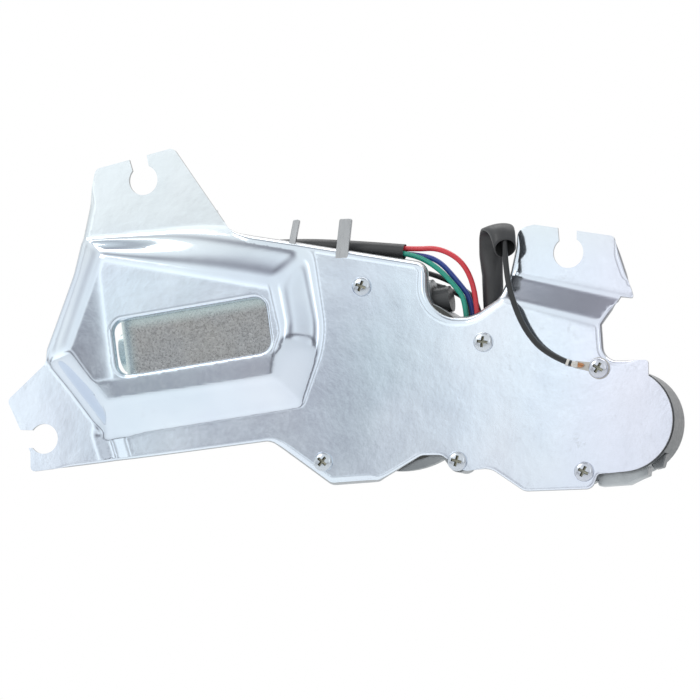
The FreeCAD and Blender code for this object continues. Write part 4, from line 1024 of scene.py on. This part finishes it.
# One ring of the tube about a spot of its route, whose share of the route's length is given.
def tubeRing(spot, way, share):
    lean = min(1.0, max(0.0, (share - foldedShape["leanFrom"]) / foldedShape["leanOver"]))
    way = way.lerp(foldedShape["mouthWay"], lean).normalized()
    side = (foldedShape["across"] - way * foldedShape["across"].dot(way)).normalized()
    over = way.cross(side)
    sizes = [foldedShape[size] for size in ("wide", "thick", "shift")]
    wide, thick, shift = [np.interp(share, foldedShape["stops"], size) / 1000 for size in sizes]
    spot = spot + Vector((shift, 0, 0))
    ring = []
    for k in range(foldedShape["sides"]):
        a = 2 * math.pi * k / foldedShape["sides"]
        wave = 1 + foldedShape["wave"] * math.sin(2 * a + share * 9) * math.sin(math.pi * share)
        ring.append(spot + side * wide * math.cos(a) * wave + over * thick * math.sin(a))
    return ring


def foldedTube(line):
    whole, passed = routeLength(line), 0.0
    rings = []
    for i, spot in enumerate(line):
        passed += (spot - line[max(i - 1, 0)]).length
        way = (line[min(i + 1, len(line) - 1)] - line[max(i - 1, 0)]).normalized()
        rings.append(tubeRing(spot, way, passed / whole))
    bm = bmesh.new()
    current = [bm.verts.new(p) for p in rings[0]]
    edges = [bm.edges.new(pair) for pair in zip(current, current[1:] + current[:1])]
    for ring in rings[1:]:
        follow, edges = extrudeRim(bm, edges, dict(zip(current, ring)))
        current = list(follow.values())
    bmesh.ops.recalc_face_normals(bm, faces=bm.faces)
    middle = sum(rings[0], Vector()) / len(rings[0])
    face = min(bm.faces, key=lambda f: (f.calc_center_median() - rings[0][0]).length)
    if (face.calc_center_median() - middle).dot(face.normal) < 0:
        bmesh.ops.reverse_faces(bm, faces=bm.faces)
    return bm


print("folded tube")
tubeShare = 0.94  # the route's last stretch is left off, so that the lead comes out of the tube's mouth
tubeRoute = routePoints(tubeLine, 14)
while routeLength(tubeRoute) > tubeShare * curveLength(tubeLine):
    tubeRoute.pop()
tube = addPiece(
    "foldedTube", foldedTube(tubeRoute), "sleeve_black", ["sleeve_black", "tubeHollowShade"],
    ["ground_sleeve"], 180)
# The tube's inner wall takes the near-black finish, painted shade in its hollow.
sheetWall(tube, foldedShape["wall"]).material_offset = 1
at(*tubeLine[0])

print("harness sleeve")
sleeve = cordCurve("wireSleeve", sleeveLine, cordRadius["sleeve"], "sleeve_black", caps=False)
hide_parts("harness_sleeve")
at(*sleeveLine[0])
curveLength(sleeveLine)


floorShape = {"half": 2.2, "middle": (-0.12, 0, -0.32), "colour": (0.86, 0.86, 0.86)}
lampTarget = (-0.12, -0.06, 0.04)


def addLamp(name, place, size, energy):
    lamp = bpy.data.lights.new(name, "AREA")
    lamp.shape = "RECTANGLE"
    lamp.size, lamp.size_y = size
    lamp.energy = energy
    made = bpy.data.objects.new(name, lamp)
    bpy.context.scene.collection.objects.link(made)
    made.location = place
    made.rotation_euler = (Vector(lampTarget) - Vector(place)).to_track_quat("-Z", "Y").to_euler()


def buildFloor():
    bm = bmesh.new()
    bmesh.ops.create_grid(bm, x_segments=1, y_segments=1, size=floorShape["half"])
    bmesh.ops.translate(bm, verts=bm.verts, vec=floorShape["middle"])
    mesh = bpy.data.meshes.new("floor")
    bm.to_mesh(mesh)
    bm.free()
    floor = bpy.data.objects.new("floor", mesh)
    bpy.context.scene.collection.objects.link(floor)
    mesh.materials.append(newFinish("paleFloor").done(colour=floorShape["colour"], rough=0.7))


# 1 at the middle, falling to 0 at reach on both sides.
def bell(kit, value, middle, reach):
    return kit.spread(kit.calc("ABSOLUTE", value - middle), 0, reach, 1, 0, "SMOOTHSTEP")


# Lighter and darker zones of the white room, as the metal mirrors them: the change of brightness, then the
# middle and reach of each limit. Bearing and pitch are in degrees, both 0 straight towards the viewer.
midHeight = ("high", 0.06, 0.55)
roomZones = [
    (0.36, ("bearing", -18, 34), midHeight),
    (-0.95, ("bearing", -17.2, 5.8), ("pitch", 2.5, 9.5)),
    (-0.68, ("bearing", -8, 6.5), midHeight),
    (-0.95, ("bearing", -36, 15), ("pitch", 3, 7)),
    (-0.60, ("bearing", 58, 13), midHeight),
    (-0.25, ("bearing", -98, 30), ("high", 0.4, 0.5)),
    (1.1, ("bearing", 36, 9), midHeight),
    (-0.72, ("bearing", 112, 48), ("high", 0.05, 0.8)),
    (0.40, ("bearing", -12.2, 2.4), ("pitch", 5.3, 1.0)),
    (0.34, ("bearing", -105, 60), ("high", -0.1, 0.35)),
    (-0.50, ("pitch", -8, 9)),
    (-0.40, ("pitch", -7, 4)),
    (-0.68, ("pitch", 66, 16), ("east", 0, 0.6)),
]
darkest = 0.2
behindFrom = (130, 150)


# The zones light the object, and the camera and what mirrors the room behind the object see plain white.
def buildWorld():
    world = bpy.data.worlds.new("studio")
    bpy.context.scene.world = world
    kit = Finish(world)
    way = kit.node("ShaderNodeTexCoord")
    east, south, high = [kit.node("ShaderNodeSeparateXYZ", {}, {0: way}, i) for i in range(3)]
    bearing = kit.calc("ARCTAN2", east, south * -1) * math.degrees(1)
    pitch = kit.calc("ARCTAN2", high, south * -1) * math.degrees(1)
    ways = {"bearing": bearing, "pitch": pitch, "high": high, "east": east}
    camera, glossy, through = [kit.node("ShaderNodeLightPath", out=i) for i in (0, 3, 6)]
    behind = kit.spread(kit.calc("ABSOLUTE", bearing), *behindFrom, 0, 1, "SMOOTHSTEP")
    seen = kit.calc("MAXIMUM", camera, (glossy + through) * behind)
    room = 1.0
    for zone, *limits in roomZones:
        for name, middle, reach in limits:
            zone = zone * bell(kit, ways[name], middle, reach)
        room = room + zone
    room = kit.calc("MAXIMUM", room, darkest)
    glow = kit.blend(kit.spread(room, 0.35, 0.95), (0.92, 0.93, 1.0), (0.94, 0.99, 1.0))
    lit = kit.node("ShaderNodeBackground", {}, {"Color": glow, "Strength": room})
    plain = kit.node("ShaderNodeBackground", {}, {"Color": (1, 1, 1, 1), "Strength": 1.0})
    kit.finishWith(kit.node("ShaderNodeMixShader", {}, {0: seen, 1: lit, 2: plain}), "ShaderNodeOutputWorld")


print("room")
buildFloor()
buildWorld()
addLamp("topLamp", (-0.12, 0.16, 0.9), (1.3, 0.55), 4.5)
addLamp("keyLamp", (-0.9, -1.1, 0.9), (0.6, 0.6), 3.5)

cameraView = {"place": (0.32037, -1.59817, -0.10704), "aim": (-0.11897, -0.066, 0.03241), "lens": 191.36}
cameraData = bpy.data.cameras.new("camera")
cameraData.lens, cameraData.sensor_width = cameraView["lens"], 36
cameraData.clip_start, cameraData.clip_end = 0.05, 30
camera = bpy.data.objects.new("camera", cameraData)
bpy.context.scene.collection.objects.link(camera)
camera.location = cameraView["place"]
camera.rotation_euler = (Vector(cameraView["aim"]) - camera.location).to_track_quat("-Z", "Y").to_euler()
bpy.context.scene.camera = camera
bpy.context.scene.view_settings.view_transform = "Standard"

print("pieces done")
